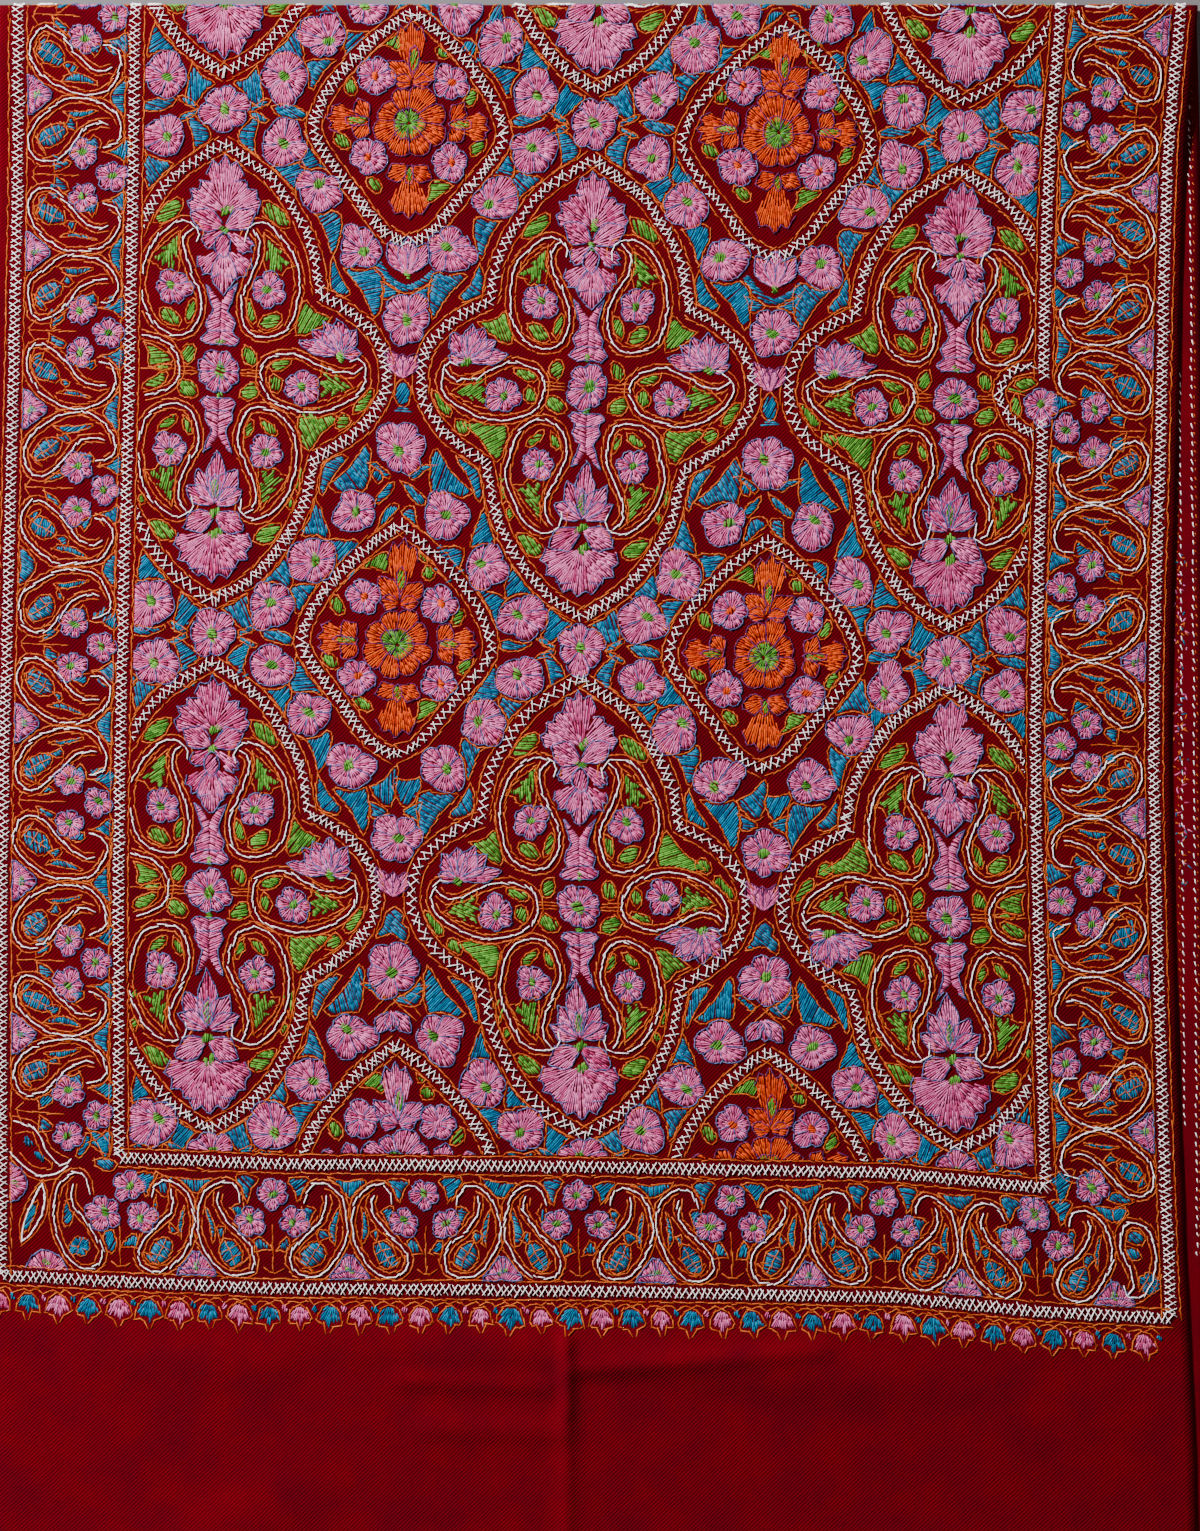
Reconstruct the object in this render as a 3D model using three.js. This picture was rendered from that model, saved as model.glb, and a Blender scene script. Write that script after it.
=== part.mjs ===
// A wool stole with an embroidered middle, folded in half across its length and laid flat.
// Units are millimetres and +Z is up. The stole rests on z = 0 with its fold towards +Y and
// its two free ends towards -Y. The origin is under the middle of its outline.
//
// The cloth is one sheet, and a point on it is named by where it lies on the flat sheet:
//   side  across the sheet from its middle, left edge to right edge
//   run   along the sheet from the crest of the fold: positive on the upper layer and
//         negative on the lower layer
//   lift  out from the middle of the wall, positive towards the embroidered face
import { Box3, BufferGeometry, Float32BufferAttribute, Group, MathUtils, Mesh } from 'three';
import { MeshStandardMaterial, Vector3 } from 'three';

// Driving dimensions
const CLOTH_WIDTH = 720;
const CLOTH_LENGTH = 2040;
const WALL = 1.2; // the cloth with its nap
const SEAM_GAP = 0.3; // between neighbouring solids
const FOLD_RADIUS = 5; // from the axis of the turn to the middle of the wall
const DROP_LENGTH = 110; // over which the upper layer comes down from the fold

// The embroidered frames are bands of herringbone stitch that stand proud of the cloth.
// Each runs over the fold and is closed by a band across each end of the embroidered middle.
const BAND_WIDTH = 11;
const BAND_SHOULDER = 2; // over which a band falls to the cloth on each side
const BAND_RISE = 0.7;
const FRAMES = [
  { name: 'outer frame', left: -345, right: 350, end: 772 },
  { name: 'inner frame', left: -275, right: 278, end: 698 },
];

// How far each long edge has strayed sideways from square, going away from the fold
const UPPER_STRAY = [
  { run: 0, left: 0, right: 0 },
  { run: 90, left: -1, right: -7.5 },
  { run: 240, left: -4, right: -11.5 },
  { run: 410, left: -8.2, right: -15.6 },
  { run: 540, left: -10.8, right: -13.6 },
  { run: 720, left: -11.3, right: -7.5 },
  { run: 870, left: -12, right: -0.8 },
  { run: 1020, left: -12.6, right: 0 },
];
const LOWER_STRAY = [
  { run: 0, left: 0, right: 0 },
  { run: 120, left: 2, right: 2.4 },
  { run: 560, left: 5, right: 5.5 },
  { run: 1020, left: 8, right: 8.4 },
];

// How far a thread that crosses the sheet has slipped away from the fold, from left to right.
// The lower layer is the same sheet turned over, so there the slip runs towards the fold.
const SLIP = [
  { side: -360, slip: -11 },
  { side: -285, slip: -7 },
  { side: -180, slip: -3 },
  { side: 0, slip: 0 },
  { side: 180, slip: 4 },
  { side: 270, slip: 11 },
  { side: 360, slip: 17 },
];
const SLIP_FADE = 160; // the slip starts at nothing on the fold and is whole this far from it

// Soft ridges of the upper layer. Each is a long mound: x and y give its middle, measured from
// the middle of the fold's crest, and turn is its slant from the line of the fold in degrees.
const RIDGES = [
  { name: 'across the plain end, left', x: -65, y: -806, length: 330, width: 46, turn: -2, rise: 2.1 },
  { name: 'across the plain end, right', x: 105, y: -818, length: 300, width: 50, turn: -4, rise: 2.4 },
  { name: 'crease down the plain end', x: -18, y: -880, length: 190, width: 30, turn: 90, rise: 1.2 },
  { name: 'left corner', x: -230, y: -925, length: 230, width: 80, turn: 28, rise: 2.2 },
  { name: 'right corner', x: 240, y: -950, length: 220, width: 76, turn: -24, rise: 2.0 },
  { name: 'beside the fold, left', x: -185, y: -78, length: 330, width: 84, turn: 3, rise: 1.4 },
  { name: 'beside the fold, right', x: 170, y: -92, length: 300, width: 84, turn: -4, rise: 1.6 },
  { name: 'upper field', x: 40, y: -300, length: 430, width: 130, turn: 12, rise: 1.1 },
  { name: 'lower field', x: -110, y: -560, length: 400, width: 120, turn: -9, rise: 1.2 },
];

// Spacing of the mesh's own lines, which also follow the edges of the bands
const UPPER_STEP = 38;
const LOWER_STEP = 120;
const ROLL_SEGMENTS = 10;

const HALF_WIDTH = CLOTH_WIDTH / 2;
const HALF_LENGTH = CLOTH_LENGTH / 2;
const TURN_HALF = (Math.PI / 2) * FOLD_RADIUS; // the cloth's run over half of the turn
const CREST = FOLD_RADIUS + WALL / 2; // from the axis of the turn to the crest
const LOWER_MIDDLE = WALL / 2;
const TURN_AXIS_Z = LOWER_MIDDLE + FOLD_RADIUS;
const UPPER_MIDDLE_AT_FOLD = TURN_AXIS_Z + FOLD_RADIUS;
const UPPER_MIDDLE_AT_REST = LOWER_MIDDLE + WALL + SEAM_GAP;

// A smooth curve through rows of { [key]: place, [value]: height }, level beyond both ends
function curveThrough(rows, key, value, at) {
  if (at <= rows[0][key]) return rows[0][value];
  const last = rows.length - 1;
  if (at >= rows[last][key]) return rows[last][value];
  const next = rows.findIndex((row) => row[key] > at);
  const slopeAt = (index) => {
    const before = rows[Math.max(index - 1, 0)];
    const after = rows[Math.min(index + 1, last)];
    return (after[value] - before[value]) / (after[key] - before[key]);
  };
  const from = rows[next - 1];
  const to = rows[next];
  const span = to[key] - from[key];
  const t = (at - from[key]) / span;
  const rest = 1 - t;
  const startPart = rest * rest * ((1 + 2 * t) * from[value] + t * span * slopeAt(next - 1));
  const endPart = t * t * ((3 - 2 * t) * to[value] - rest * span * slopeAt(next));
  return startPart + endPart;
}

// 1 on the top of a mound, falling smoothly to 0 at its rim
const mound = (distance) => (distance < 1 ? (1 + Math.cos(Math.PI * distance)) / 2 : 0);

function ridgeHeight(ridge, x, y) {
  const turn = MathUtils.degToRad(ridge.turn);
  const dx = x - ridge.x;
  const dy = y - ridge.y;
  const lengthwise = (dx * Math.cos(turn) + dy * Math.sin(turn)) / (ridge.length / 2);
  const crosswise = (dy * Math.cos(turn) - dx * Math.sin(turn)) / (ridge.width / 2);
  return ridge.rise * mound(Math.hypot(lengthwise, crosswise));
}

// Height of the middle of the upper layer's wall, at a place past the turn
function upperMiddle(x, y) {
  const fromTurn = -y - CREST;
  const settled = MathUtils.smoothstep(fromTurn, 0, DROP_LENGTH);
  const ease = MathUtils.lerp(UPPER_MIDDLE_AT_FOLD, UPPER_MIDDLE_AT_REST, settled);
  const clearOfTurn = MathUtils.smoothstep(fromTurn, 0, FOLD_RADIUS * 4);
  const ridges = RIDGES.reduce((sum, ridge) => sum + ridgeHeight(ridge, x, y), 0);
  return ease + clearOfTurn * ridges;
}

// How far the bands stand proud: they fade out round the turn, so the underside stays flat
function bandRise(side, run) {
  const distances = FRAMES.map((frame) =>
    Math.abs(Math.max(frame.left - side, side - frame.right, run - frame.end)),
  );
  const past = (Math.min(...distances) - BAND_WIDTH / 2) / BAND_SHOULDER;
  return BAND_RISE * (1 - MathUtils.clamp(past, 0, 1)) * MathUtils.smoothstep(run, -TURN_HALF, 0);
}

// Where a point of the sheet lies in the folded stole, measured from the crest's middle
function place(side, run, lift) {
  const stray = run > 0 ? UPPER_STRAY : LOWER_STRAY;
  const distance = Math.abs(run);
  const rightShare = (side + HALF_WIDTH) / CLOTH_WIDTH;
  const x = side + MathUtils.lerp(
    curveThrough(stray, 'run', 'left', distance),
    curveThrough(stray, 'run', 'right', distance),
    rightShare,
  );
  if (distance < TURN_HALF) {
    const angle = run / FOLD_RADIUS;
    const radius = FOLD_RADIUS + lift;
    return new Vector3(x, radius * Math.cos(angle) - CREST, TURN_AXIS_Z + radius * Math.sin(angle));
  }
  const slip = curveThrough(SLIP, 'side', 'slip', side) * Math.sign(run);
  const away = distance - TURN_HALF + slip * MathUtils.smoothstep(distance, TURN_HALF, SLIP_FADE);
  const y = -CREST - away;
  const z = run > 0 ? upperMiddle(x, y) + lift : LOWER_MIDDLE - lift;
  return new Vector3(x, y, z);
}

// Mesh lines from low to high: every wanted one, and more between them where they are far apart
function meshLines(low, high, wanted, step) {
  const fixed = [low, ...wanted.filter((at) => at > low && at < high), high].sort((a, b) => a - b);
  const lines = [low];
  for (let i = 1; i < fixed.length; i += 1) {
    const pieces = Math.ceil((fixed[i] - fixed[i - 1]) / step);
    for (let k = 1; k <= pieces; k += 1) {
      lines.push(MathUtils.lerp(fixed[i - 1], fixed[i], k / pieces));
    }
  }
  return lines;
}

// Both edges of a band and the feet of its shoulders
const bandLines = (middle) => [
  middle - BAND_WIDTH / 2 - BAND_SHOULDER,
  middle - BAND_WIDTH / 2,
  middle + BAND_WIDTH / 2,
  middle + BAND_WIDTH / 2 + BAND_SHOULDER,
];

// A closed wall over a grid of the sheet, with its edges square to its faces
function wall(name, sides, runs, material) {
  const positions = [];
  const addFace = (liftOf) => {
    const first = positions.length / 3;
    for (const side of sides) {
      for (const run of runs) positions.push(...place(side, run, liftOf(side, run)));
    }
    return (i, j) => first + i * runs.length + j;
  };
  const outer = addFace((side, run) => WALL / 2 + bandRise(side, run));
  const inner = addFace(() => -WALL / 2);

  const indices = [];
  const addQuad = (a, b, c, d) => indices.push(a, b, c, a, c, d);
  const lastSide = sides.length - 1;
  const lastRun = runs.length - 1;
  for (let i = 0; i < lastSide; i += 1) {
    for (let j = 0; j < lastRun; j += 1) {
      addQuad(outer(i, j), outer(i, j + 1), outer(i + 1, j + 1), outer(i + 1, j));
      addQuad(inner(i, j), inner(i + 1, j), inner(i + 1, j + 1), inner(i, j + 1));
    }
  }
  for (let j = 0; j < lastRun; j += 1) {
    addQuad(outer(0, j + 1), outer(0, j), inner(0, j), inner(0, j + 1));
    addQuad(outer(lastSide, j), outer(lastSide, j + 1), inner(lastSide, j + 1), inner(lastSide, j));
  }
  for (let i = 0; i < lastSide; i += 1) {
    addQuad(outer(i, 0), outer(i + 1, 0), inner(i + 1, 0), inner(i, 0));
    addQuad(outer(i + 1, lastRun), outer(i, lastRun), inner(i, lastRun), inner(i + 1, lastRun));
  }

  const geometry = new BufferGeometry();
  geometry.setAttribute('position', new Float32BufferAttribute(positions, 3));
  geometry.setIndex(indices);
  geometry.computeVertexNormals();
  const mesh = new Mesh(geometry, material);
  mesh.name = name;
  return mesh;
}

const longBands = FRAMES.flatMap((frame) => [...bandLines(frame.left), ...bandLines(frame.right)]);
const endBands = FRAMES.flatMap((frame) => bandLines(frame.end));
const upperSides = meshLines(-HALF_WIDTH, HALF_WIDTH, longBands, UPPER_STEP);
const lowerSides = meshLines(-HALF_WIDTH, HALF_WIDTH, [], LOWER_STEP);
const seam = TURN_HALF + SEAM_GAP / 2;

// The upper layer's first lines are close together, where it leaves the turn
const easeLines = [14, 22, 32, 44, 58, 76, 96];
const upperRuns = meshLines(seam, HALF_LENGTH, [...easeLines, ...endBands], UPPER_STEP);
const rollEnd = TURN_HALF - SEAM_GAP / 2;
const rollRuns = meshLines(-rollEnd, rollEnd, [], (2 * rollEnd) / ROLL_SEGMENTS);
const lowerRuns = meshLines(-HALF_LENGTH, -seam, [], LOWER_STEP);

const wool = new MeshStandardMaterial({ color: 0x66030a, roughness: 0.92, metalness: 0 });

const sheet = new Group();
sheet.add(wall('upper_layer', upperSides, upperRuns, wool));
sheet.add(wall('fold_roll', upperSides, rollRuns, wool.clone()));
sheet.add(wall('lower_layer', lowerSides, lowerRuns, wool.clone()));

// The sheet is moved so that the middle of the outline is over the origin
const middle = new Box3().setFromObject(sheet).getCenter(new Vector3());
sheet.position.set(-middle.x, -middle.y, 0);

const stole = new Group();
stole.add(sheet);

export default stole;
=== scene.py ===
"""An embroidered wool stole, folded in half and lying flat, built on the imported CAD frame.

A point of the cloth is named by where it lies on the flat sheet, in millimetres: side is measured
across the sheet from its middle and run along it from the crest of the fold, positive on the
upper layer. The embroidery is worked out on that sheet, stitch by stitch, and every stitch is
then laid on the folded cloth.
"""
import math

import bpy
import numpy as np
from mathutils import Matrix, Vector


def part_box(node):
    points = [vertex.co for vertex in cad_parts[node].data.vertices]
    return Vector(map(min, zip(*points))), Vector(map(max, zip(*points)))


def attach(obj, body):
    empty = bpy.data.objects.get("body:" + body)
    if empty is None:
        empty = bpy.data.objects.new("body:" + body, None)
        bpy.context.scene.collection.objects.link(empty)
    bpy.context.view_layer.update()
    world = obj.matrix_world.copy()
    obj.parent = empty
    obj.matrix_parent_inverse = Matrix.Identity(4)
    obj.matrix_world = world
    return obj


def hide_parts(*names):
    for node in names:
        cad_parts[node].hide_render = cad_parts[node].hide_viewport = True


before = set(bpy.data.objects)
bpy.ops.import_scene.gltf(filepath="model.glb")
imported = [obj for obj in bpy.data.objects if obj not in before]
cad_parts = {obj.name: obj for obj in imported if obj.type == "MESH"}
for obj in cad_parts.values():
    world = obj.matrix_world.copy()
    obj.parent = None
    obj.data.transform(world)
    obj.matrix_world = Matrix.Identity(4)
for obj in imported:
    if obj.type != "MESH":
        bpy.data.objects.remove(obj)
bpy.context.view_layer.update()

# ---- the folded sheet, millimetres
CLOTH_WIDTH = 720.0
CLOTH_LENGTH = 2040.0
WALL = 1.2
FOLD_RADIUS = 5.0
DROP_LENGTH = 110.0
HALF_WIDTH = CLOTH_WIDTH / 2
HALF_LENGTH = CLOTH_LENGTH / 2
TURN_HALF = math.pi / 2 * FOLD_RADIUS
CREST = FOLD_RADIUS + WALL / 2
LOWER_MIDDLE = WALL / 2
TURN_AXIS_Z = LOWER_MIDDLE + FOLD_RADIUS
UPPER_AT_FOLD = TURN_AXIS_Z + FOLD_RADIUS
UPPER_AT_REST = 2.1

# run, and how far the left and the right edge stray sideways there: upper layer, lower layer
STRAY_RUN = (0, 90, 240, 410, 540, 720, 870, 1020)
STRAY_LEFT = (0, -1, -4, -8.2, -10.8, -11.3, -12, -12.6)
STRAY_RIGHT = (0, -7.5, -11.5, -15.6, -13.6, -7.5, -0.8, 0)
LOWER_RUN = (0, 120, 560, 1020)
LOWER_LEFT = (0, 2, 5, 8)
LOWER_RIGHT = (0, 2.4, 5.5, 8.4)
# side, and how far the cloth has slipped along itself there once it is SLIP_FADE past the fold
SLIP_SIDE = (-360, -285, -180, 0, 180, 270, 360)
SLIP = (-11, -7, -3, 0, 4, 11, 17)
SLIP_FADE = 160.0

# soft ridges: x, y of the middle, length, width, turn from the line of the fold, rise
RIDGES = (
    (-65, -806, 330, 46, -2, 2.1),
    (105, -818, 300, 50, -4, 2.4),
    (-18, -880, 190, 30, 90, 1.2),
    (-230, -925, 230, 80, 28, 2.2),
    (240, -950, 220, 76, -24, 2.0),
    (-185, -78, 330, 84, 3, 1.4),
    (170, -92, 300, 84, -4, 1.6),
    (40, -300, 430, 130, 12, 1.1),
    (-110, -560, 400, 120, -9, 1.2),
)
# creases pressed by folding: x, y at both ends, width, rise
CREASES = (
    (-18, -796, -16.5, -1016, 4.0, 1.1),
    (-18, -802, -17, -842, 5.0, 2.2),
    (-118, -824, -30, -827, 6.0, 2.0),
    (-12, -817.5, 136, -805.5, 6.0, 2.3),
    (-100, -852, -22, -855, 8.0, 1.9),
    (-300, -809, -190, -815, 15.0, 1.3),
    (-140, -868, -104, -902, 5.0, 0.9),
)

fold_low, fold_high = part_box("fold_roll")
FOLD_FROM_ORIGIN_Y = fold_high[1] * 1000.0
SHEET_X = (fold_low[0] + fold_high[0]) / 2 * 1000.0   # the CAD moved its outline over the origin


def curve_through(places, values, at):
    """A smooth curve through the values, level beyond both ends."""
    places = np.asarray(places, float)
    values = np.asarray(values, float)
    at = np.clip(at, places[0], places[-1])
    last = len(places) - 1
    before = np.maximum(np.arange(last + 1) - 1, 0)
    after = np.minimum(np.arange(last + 1) + 1, last)
    slope = (values[after] - values[before]) / (places[after] - places[before])
    k = np.clip(np.searchsorted(places, at, side="right") - 1, 0, last - 1)
    span = places[k + 1] - places[k]
    t = (at - places[k]) / span
    rest = 1 - t
    start = rest * rest * ((1 + 2 * t) * values[k] + t * span * slope[k])
    end = t * t * ((3 - 2 * t) * values[k + 1] - rest * span * slope[k + 1])
    return start + end


def smoothstep(value, low, high):
    """0 below low, 1 above high and smooth between them."""
    t = np.clip((value - low) / (high - low), 0, 1)
    return t * t * (3 - 2 * t)


def ridge_height(ridge, x, y):
    rx, ry, length, width, turn, rise = ridge
    c, s = math.cos(math.radians(turn)), math.sin(math.radians(turn))
    along = ((x - rx) * c + (y - ry) * s) / (length / 2)
    across = ((y - ry) * c - (x - rx) * s) / (width / 2)
    distance = np.minimum(np.hypot(along, across), 1)
    return rise * (1 + np.cos(math.pi * distance)) / 2


def crease_height(crease, x, y):
    ax, ay, bx, by, width, rise = crease
    length = math.hypot(bx - ax, by - ay)
    ux, uy = (bx - ax) / length, (by - ay) / length
    along = np.clip((x - ax) * ux + (y - ay) * uy, 0, length)
    away = np.hypot(x - ax - along * ux, y - ay - along * uy)
    return rise * np.exp(-(away / width) ** 2)


def upper_middle(x, y):
    """Height of the middle of the upper layer's wall."""
    from_turn = -y - CREST
    settled = smoothstep(from_turn, 0, DROP_LENGTH)
    ease = UPPER_AT_FOLD + (UPPER_AT_REST - UPPER_AT_FOLD) * settled
    clear = smoothstep(from_turn, 0, FOLD_RADIUS * 4)
    soft = sum(ridge_height(ridge, x, y) for ridge in RIDGES)
    soft = soft + sum(crease_height(crease, x, y) for crease in CREASES)
    return ease + clear * (soft + pucker(x, y))


PUCKERS = 36
PUCKER_LONGEST = 90.0
PUCKER_MEAN, PUCKER_SWING = 0.16, 0.11
waves = np.random.default_rng(5)
PUCKER_LENGTH = waves.uniform(22, PUCKER_LONGEST, PUCKERS)
PUCKER_TURN = waves.uniform(0, 2 * math.pi, PUCKERS)
PUCKER_START = waves.uniform(0, 2 * math.pi, PUCKERS)


def pucker(x, y):
    """Small unevenness of cloth that is drawn together by its stitching."""
    total = 0
    for length, turn, start in zip(PUCKER_LENGTH, PUCKER_TURN, PUCKER_START):
        phase = (x * math.cos(turn) + y * math.sin(turn)) * 2 * math.pi / length + start
        total = total + np.sin(phase) * length / PUCKER_LONGEST
    return PUCKER_MEAN + PUCKER_SWING * np.clip(total / 2.2, -1.4, 1.4)


def place(side, run, lift):
    """Where points of the sheet lie in the folded stole, in metres of the row frame."""
    side, run, lift = (np.asarray(v, float) for v in (side, run, lift))
    upper = run > 0
    away = np.abs(run)
    share = (side + HALF_WIDTH) / CLOTH_WIDTH
    left, right = (np.where(upper, curve_through(STRAY_RUN, over, away),
                            curve_through(LOWER_RUN, under, away))
                   for over, under in ((STRAY_LEFT, LOWER_LEFT), (STRAY_RIGHT, LOWER_RIGHT)))
    x = side + left * (1 - share) + right * share
    rolled = away < TURN_HALF
    angle = run / FOLD_RADIUS
    radius = FOLD_RADIUS + lift
    slip = curve_through(SLIP_SIDE, SLIP, side) * np.sign(run)
    flat_y = -CREST - (away - TURN_HALF + slip * smoothstep(away, TURN_HALF, SLIP_FADE))
    y = np.where(rolled, radius * np.cos(angle) - CREST, flat_y)
    flat_z = np.where(upper, upper_middle(x, y) + lift, LOWER_MIDDLE - lift)
    z = np.where(rolled, TURN_AXIS_Z + radius * np.sin(angle), flat_z)
    return np.stack([x + SHEET_X, y + FOLD_FROM_ORIGIN_Y, z], axis=-1) / 1000.0


rng = np.random.default_rng(17)

# ---- stitches
stitches = {thread: [] for thread in
            ("orange", "pink", "blue", "green", "white", "slate", "violet", "flame")}

WHOLE_SHEET = (-400.0, 400.0, -20.0, 1100.0)
SHORTEST = 0.7
DISC_SEARCH = 20.0
DISC_SLACK = 0.5
window = list(WHOLE_SHEET)   # left, right, near, far: stitches are cut at its edges
taken = []   # x, y and radius of discs of the sheet that leaves keep clear of
clearing = False   # whether sew leaves out the stitches that lie in a disc


def discs_near(points):
    """The discs that the points may lie in."""
    discs = np.array(taken).reshape(-1, 3)
    low, high = points.min(0) - DISC_SEARCH, points.max(0) + DISC_SEARCH
    return discs[((discs[:, :2] > low) & (discs[:, :2] < high)).all(1)]


def from_discs(points, discs):
    """The way from the middle of each disc to each point, and its length."""
    away = points[:, None] - discs[None, :, :2]
    return away, np.hypot(away[..., 0], away[..., 1])


def kept_clear(outline, margin):
    """The outline with the points that lie in a disc, or nearer than margin to it, moved out."""
    outline = np.array(outline, float)
    discs = discs_near(outline)
    if not len(discs):
        return outline
    for _ in range(2):
        away, distance = from_discs(outline, discs)
        depth = discs[:, 2] + margin - distance
        worst = np.arange(len(outline)), depth.argmax(1)
        push = np.maximum(depth[worst], 0)
        outline += away[worst] / np.maximum(distance[worst], 1e-6)[:, None] * push[:, None]
    return outline


def clear_of_taken(points):
    """Which of the points lie in none of the discs."""
    discs = discs_near(points)
    if not len(discs):
        return np.ones(len(points), bool)
    return (from_discs(points, discs)[1] - discs[:, 2]).min(1) > -DISC_SLACK


def sew(thread, starts, ends, width, height, shade=0.0):
    """Adds stitches from starts to ends, cut at the edges of the window."""
    starts = np.atleast_2d(starts).astype(float)
    ends = np.atleast_2d(ends).astype(float)
    run = ends - starts
    enter = np.zeros(len(starts))
    leave = np.ones(len(starts))
    for axis, low, high in ((0, window[0], window[1]), (1, window[2], window[3])):
        step = np.where(np.abs(run[:, axis]) < 1e-9, 1e-9, run[:, axis])
        first = (low - starts[:, axis]) / step
        second = (high - starts[:, axis]) / step
        enter = np.maximum(enter, np.minimum(first, second))
        leave = np.minimum(leave, np.maximum(first, second))
    keep = (leave - enter) * np.hypot(run[:, 0], run[:, 1]) > SHORTEST
    if clearing:
        keep &= clear_of_taken((starts + ends) / 2)
    if not keep.any():
        return
    begin = starts + run * enter[:, None]
    finish = starts + run * leave[:, None]
    count = int(keep.sum())
    wide = np.broadcast_to(width, len(starts))[keep] * rng.uniform(0.88, 1.1, count)
    high = np.broadcast_to(height, len(starts))[keep] * rng.uniform(0.9, 1.1, count)
    tone = shade + rng.uniform(-1, 1, count)
    stitches[thread].append(np.column_stack([begin[keep], finish[keep], wide, high, tone]))


# ---- outlines
def smooth(points, step=2.0):
    """A curve through the points, sampled about every step millimetres."""
    points = np.asarray(points, float)
    around = np.vstack([2 * points[0] - points[1], points, 2 * points[-1] - points[-2]])
    parts = []
    for before, start, end, after in zip(around, around[1:], around[2:], around[3:]):
        count = max(2, int(np.hypot(*(end - start)) / step))
        t = np.linspace(0, 1, count, endpoint=False)[:, None]
        leave = (end - before) / 2
        arrive = (after - start) / 2
        parts.append((1 + 2 * t) * (1 - t) ** 2 * start + t * (1 - t) ** 2 * leave
                     + t * t * (3 - 2 * t) * end + t * t * (t - 1) * arrive)
    return np.vstack(parts + [points[-1]])


def moved(points, x, y, turn=0.0, size=1.0, mirror=1.0):
    """Points turned by turn degrees, scaled, mirrored across the axis of x and moved."""
    points = np.asarray(points, float) * (size * mirror, size)
    c, s = math.cos(math.radians(turn)), math.sin(math.radians(turn))
    return points @ np.array([[c, s], [-s, c]]) + (x, y)


def headings(path):
    """Unit steps ahead along the path and across it to its left, one for each point."""
    ahead = np.gradient(path, axis=0)
    ahead /= np.maximum(np.hypot(ahead[:, 0], ahead[:, 1]), 1e-6)[:, None]
    return ahead, np.column_stack([-ahead[:, 1], ahead[:, 0]])


def beside(path, distance):
    """The path moved sideways by distance, to its left as it runs."""
    path = np.asarray(path, float)
    return path + distance * headings(path)[1]


def spaced(path, step, wobble=0.0, closed=False):
    """Points along the path, step apart, with their places along it shifted at random."""
    path = np.asarray(path, float)
    if closed:
        path = np.vstack([path, path[0]])
    gone = np.concatenate([[0], np.cumsum(np.hypot(*np.diff(path, axis=0).T))])
    count = max(1, round(gone[-1] / step))
    places = np.linspace(0, gone[-1], count + 1)
    places[1:-1] += rng.uniform(-wobble, wobble, max(count - 1, 0)) * step
    return np.column_stack([np.interp(places, gone, path[:, k]) for k in (0, 1)])


# ---- stitch kinds
OUTLINE_STITCH = 4.2
OUTLINE_WIDTH = 0.71
OUTLINE_HEIGHT = 0.62
FILL_WIDTH = 1.02
FILL_HEIGHT = 0.7
FILL_SPACING = 1.1
FILL_REACH = 5.2
FILL_SHORTEST = 0.9
FAN_REACH = 5.6
BAND_HEIGHT = 7.0
BAND_PITCH = 3.8
EDGE_LINE = 5.6   # from the middle of a band to the orange line on each side
WHITE_WIDTH = 0.64


def line(thread, path, stitch=OUTLINE_STITCH, width=OUTLINE_WIDTH, height=OUTLINE_HEIGHT,
         stray=0.28, closed=False):
    """A line of stem stitches, each a little out of line with the next."""
    points = spaced(path, stitch, 0.22, closed)
    starts = points[:-1] + rng.normal(0, stray, points[:-1].shape)
    ends = points[1:] + rng.normal(0, stray, points[1:].shape)
    reach = (ends - starts) * 0.2
    sew(thread, starts - reach, ends + reach, width, height)


def in_ranks(near, far, reach):
    """Splits each stitch into ranks no longer than reach, long and short by turns."""
    starts, ends = [], []
    for a, b in zip(near, far):
        length = math.hypot(*(b - a))
        ranks = max(1, math.ceil(length / reach - 0.25))
        cuts = np.linspace(0, 1, ranks + 1)
        if ranks > 1:
            cuts[1:-1] += rng.uniform(-0.3, 0.3, ranks - 1) / ranks
        overlap = 0.5 / max(length, 1e-6)
        for low, high in zip(cuts, cuts[1:]):
            starts.append(a + (b - a) * (low - (overlap if low > 0 else 0)))
            ends.append(a + (b - a) * (high + (overlap if high < 1 else 0)))
    return np.array(starts), np.array(ends)


def satin(thread, outline, angle, spacing=FILL_SPACING, reach=FILL_REACH, width=FILL_WIDTH,
          height=FILL_HEIGHT):
    """Fills an outline with parallel stitches that lie along angle degrees."""
    outline = np.asarray(outline, float)
    c, s = math.cos(math.radians(angle)), math.sin(math.radians(angle))
    turn = np.array([[c, -s], [s, c]])
    flat = outline @ turn
    following = np.roll(flat, -1, axis=0)
    near, far = [], []
    rows = np.arange(flat[:, 1].min() + spacing * 0.4, flat[:, 1].max(), spacing)
    for row in rows + rng.normal(0, spacing * 0.12, len(rows)):
        crosses = (flat[:, 1] > row) != (following[:, 1] > row)
        a, b = flat[crosses], following[crosses]
        hits = np.sort(a[:, 0] + (row - a[:, 1]) / (b[:, 1] - a[:, 1]) * (b[:, 0] - a[:, 0]))
        for low, high in zip(hits[::2], hits[1::2]):
            if high - low > FILL_SHORTEST:
                lean = rng.normal(0, 0.3, 2)
                near.append((low + rng.uniform(-0.4, 0.4), row + lean[0]))
                far.append((high + rng.uniform(-0.4, 0.4), row + lean[1]))
    if near:
        starts, ends = in_ranks(np.array(near) @ turn.T, np.array(far) @ turn.T, reach)
        sew(thread, starts, ends, width, height)


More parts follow.
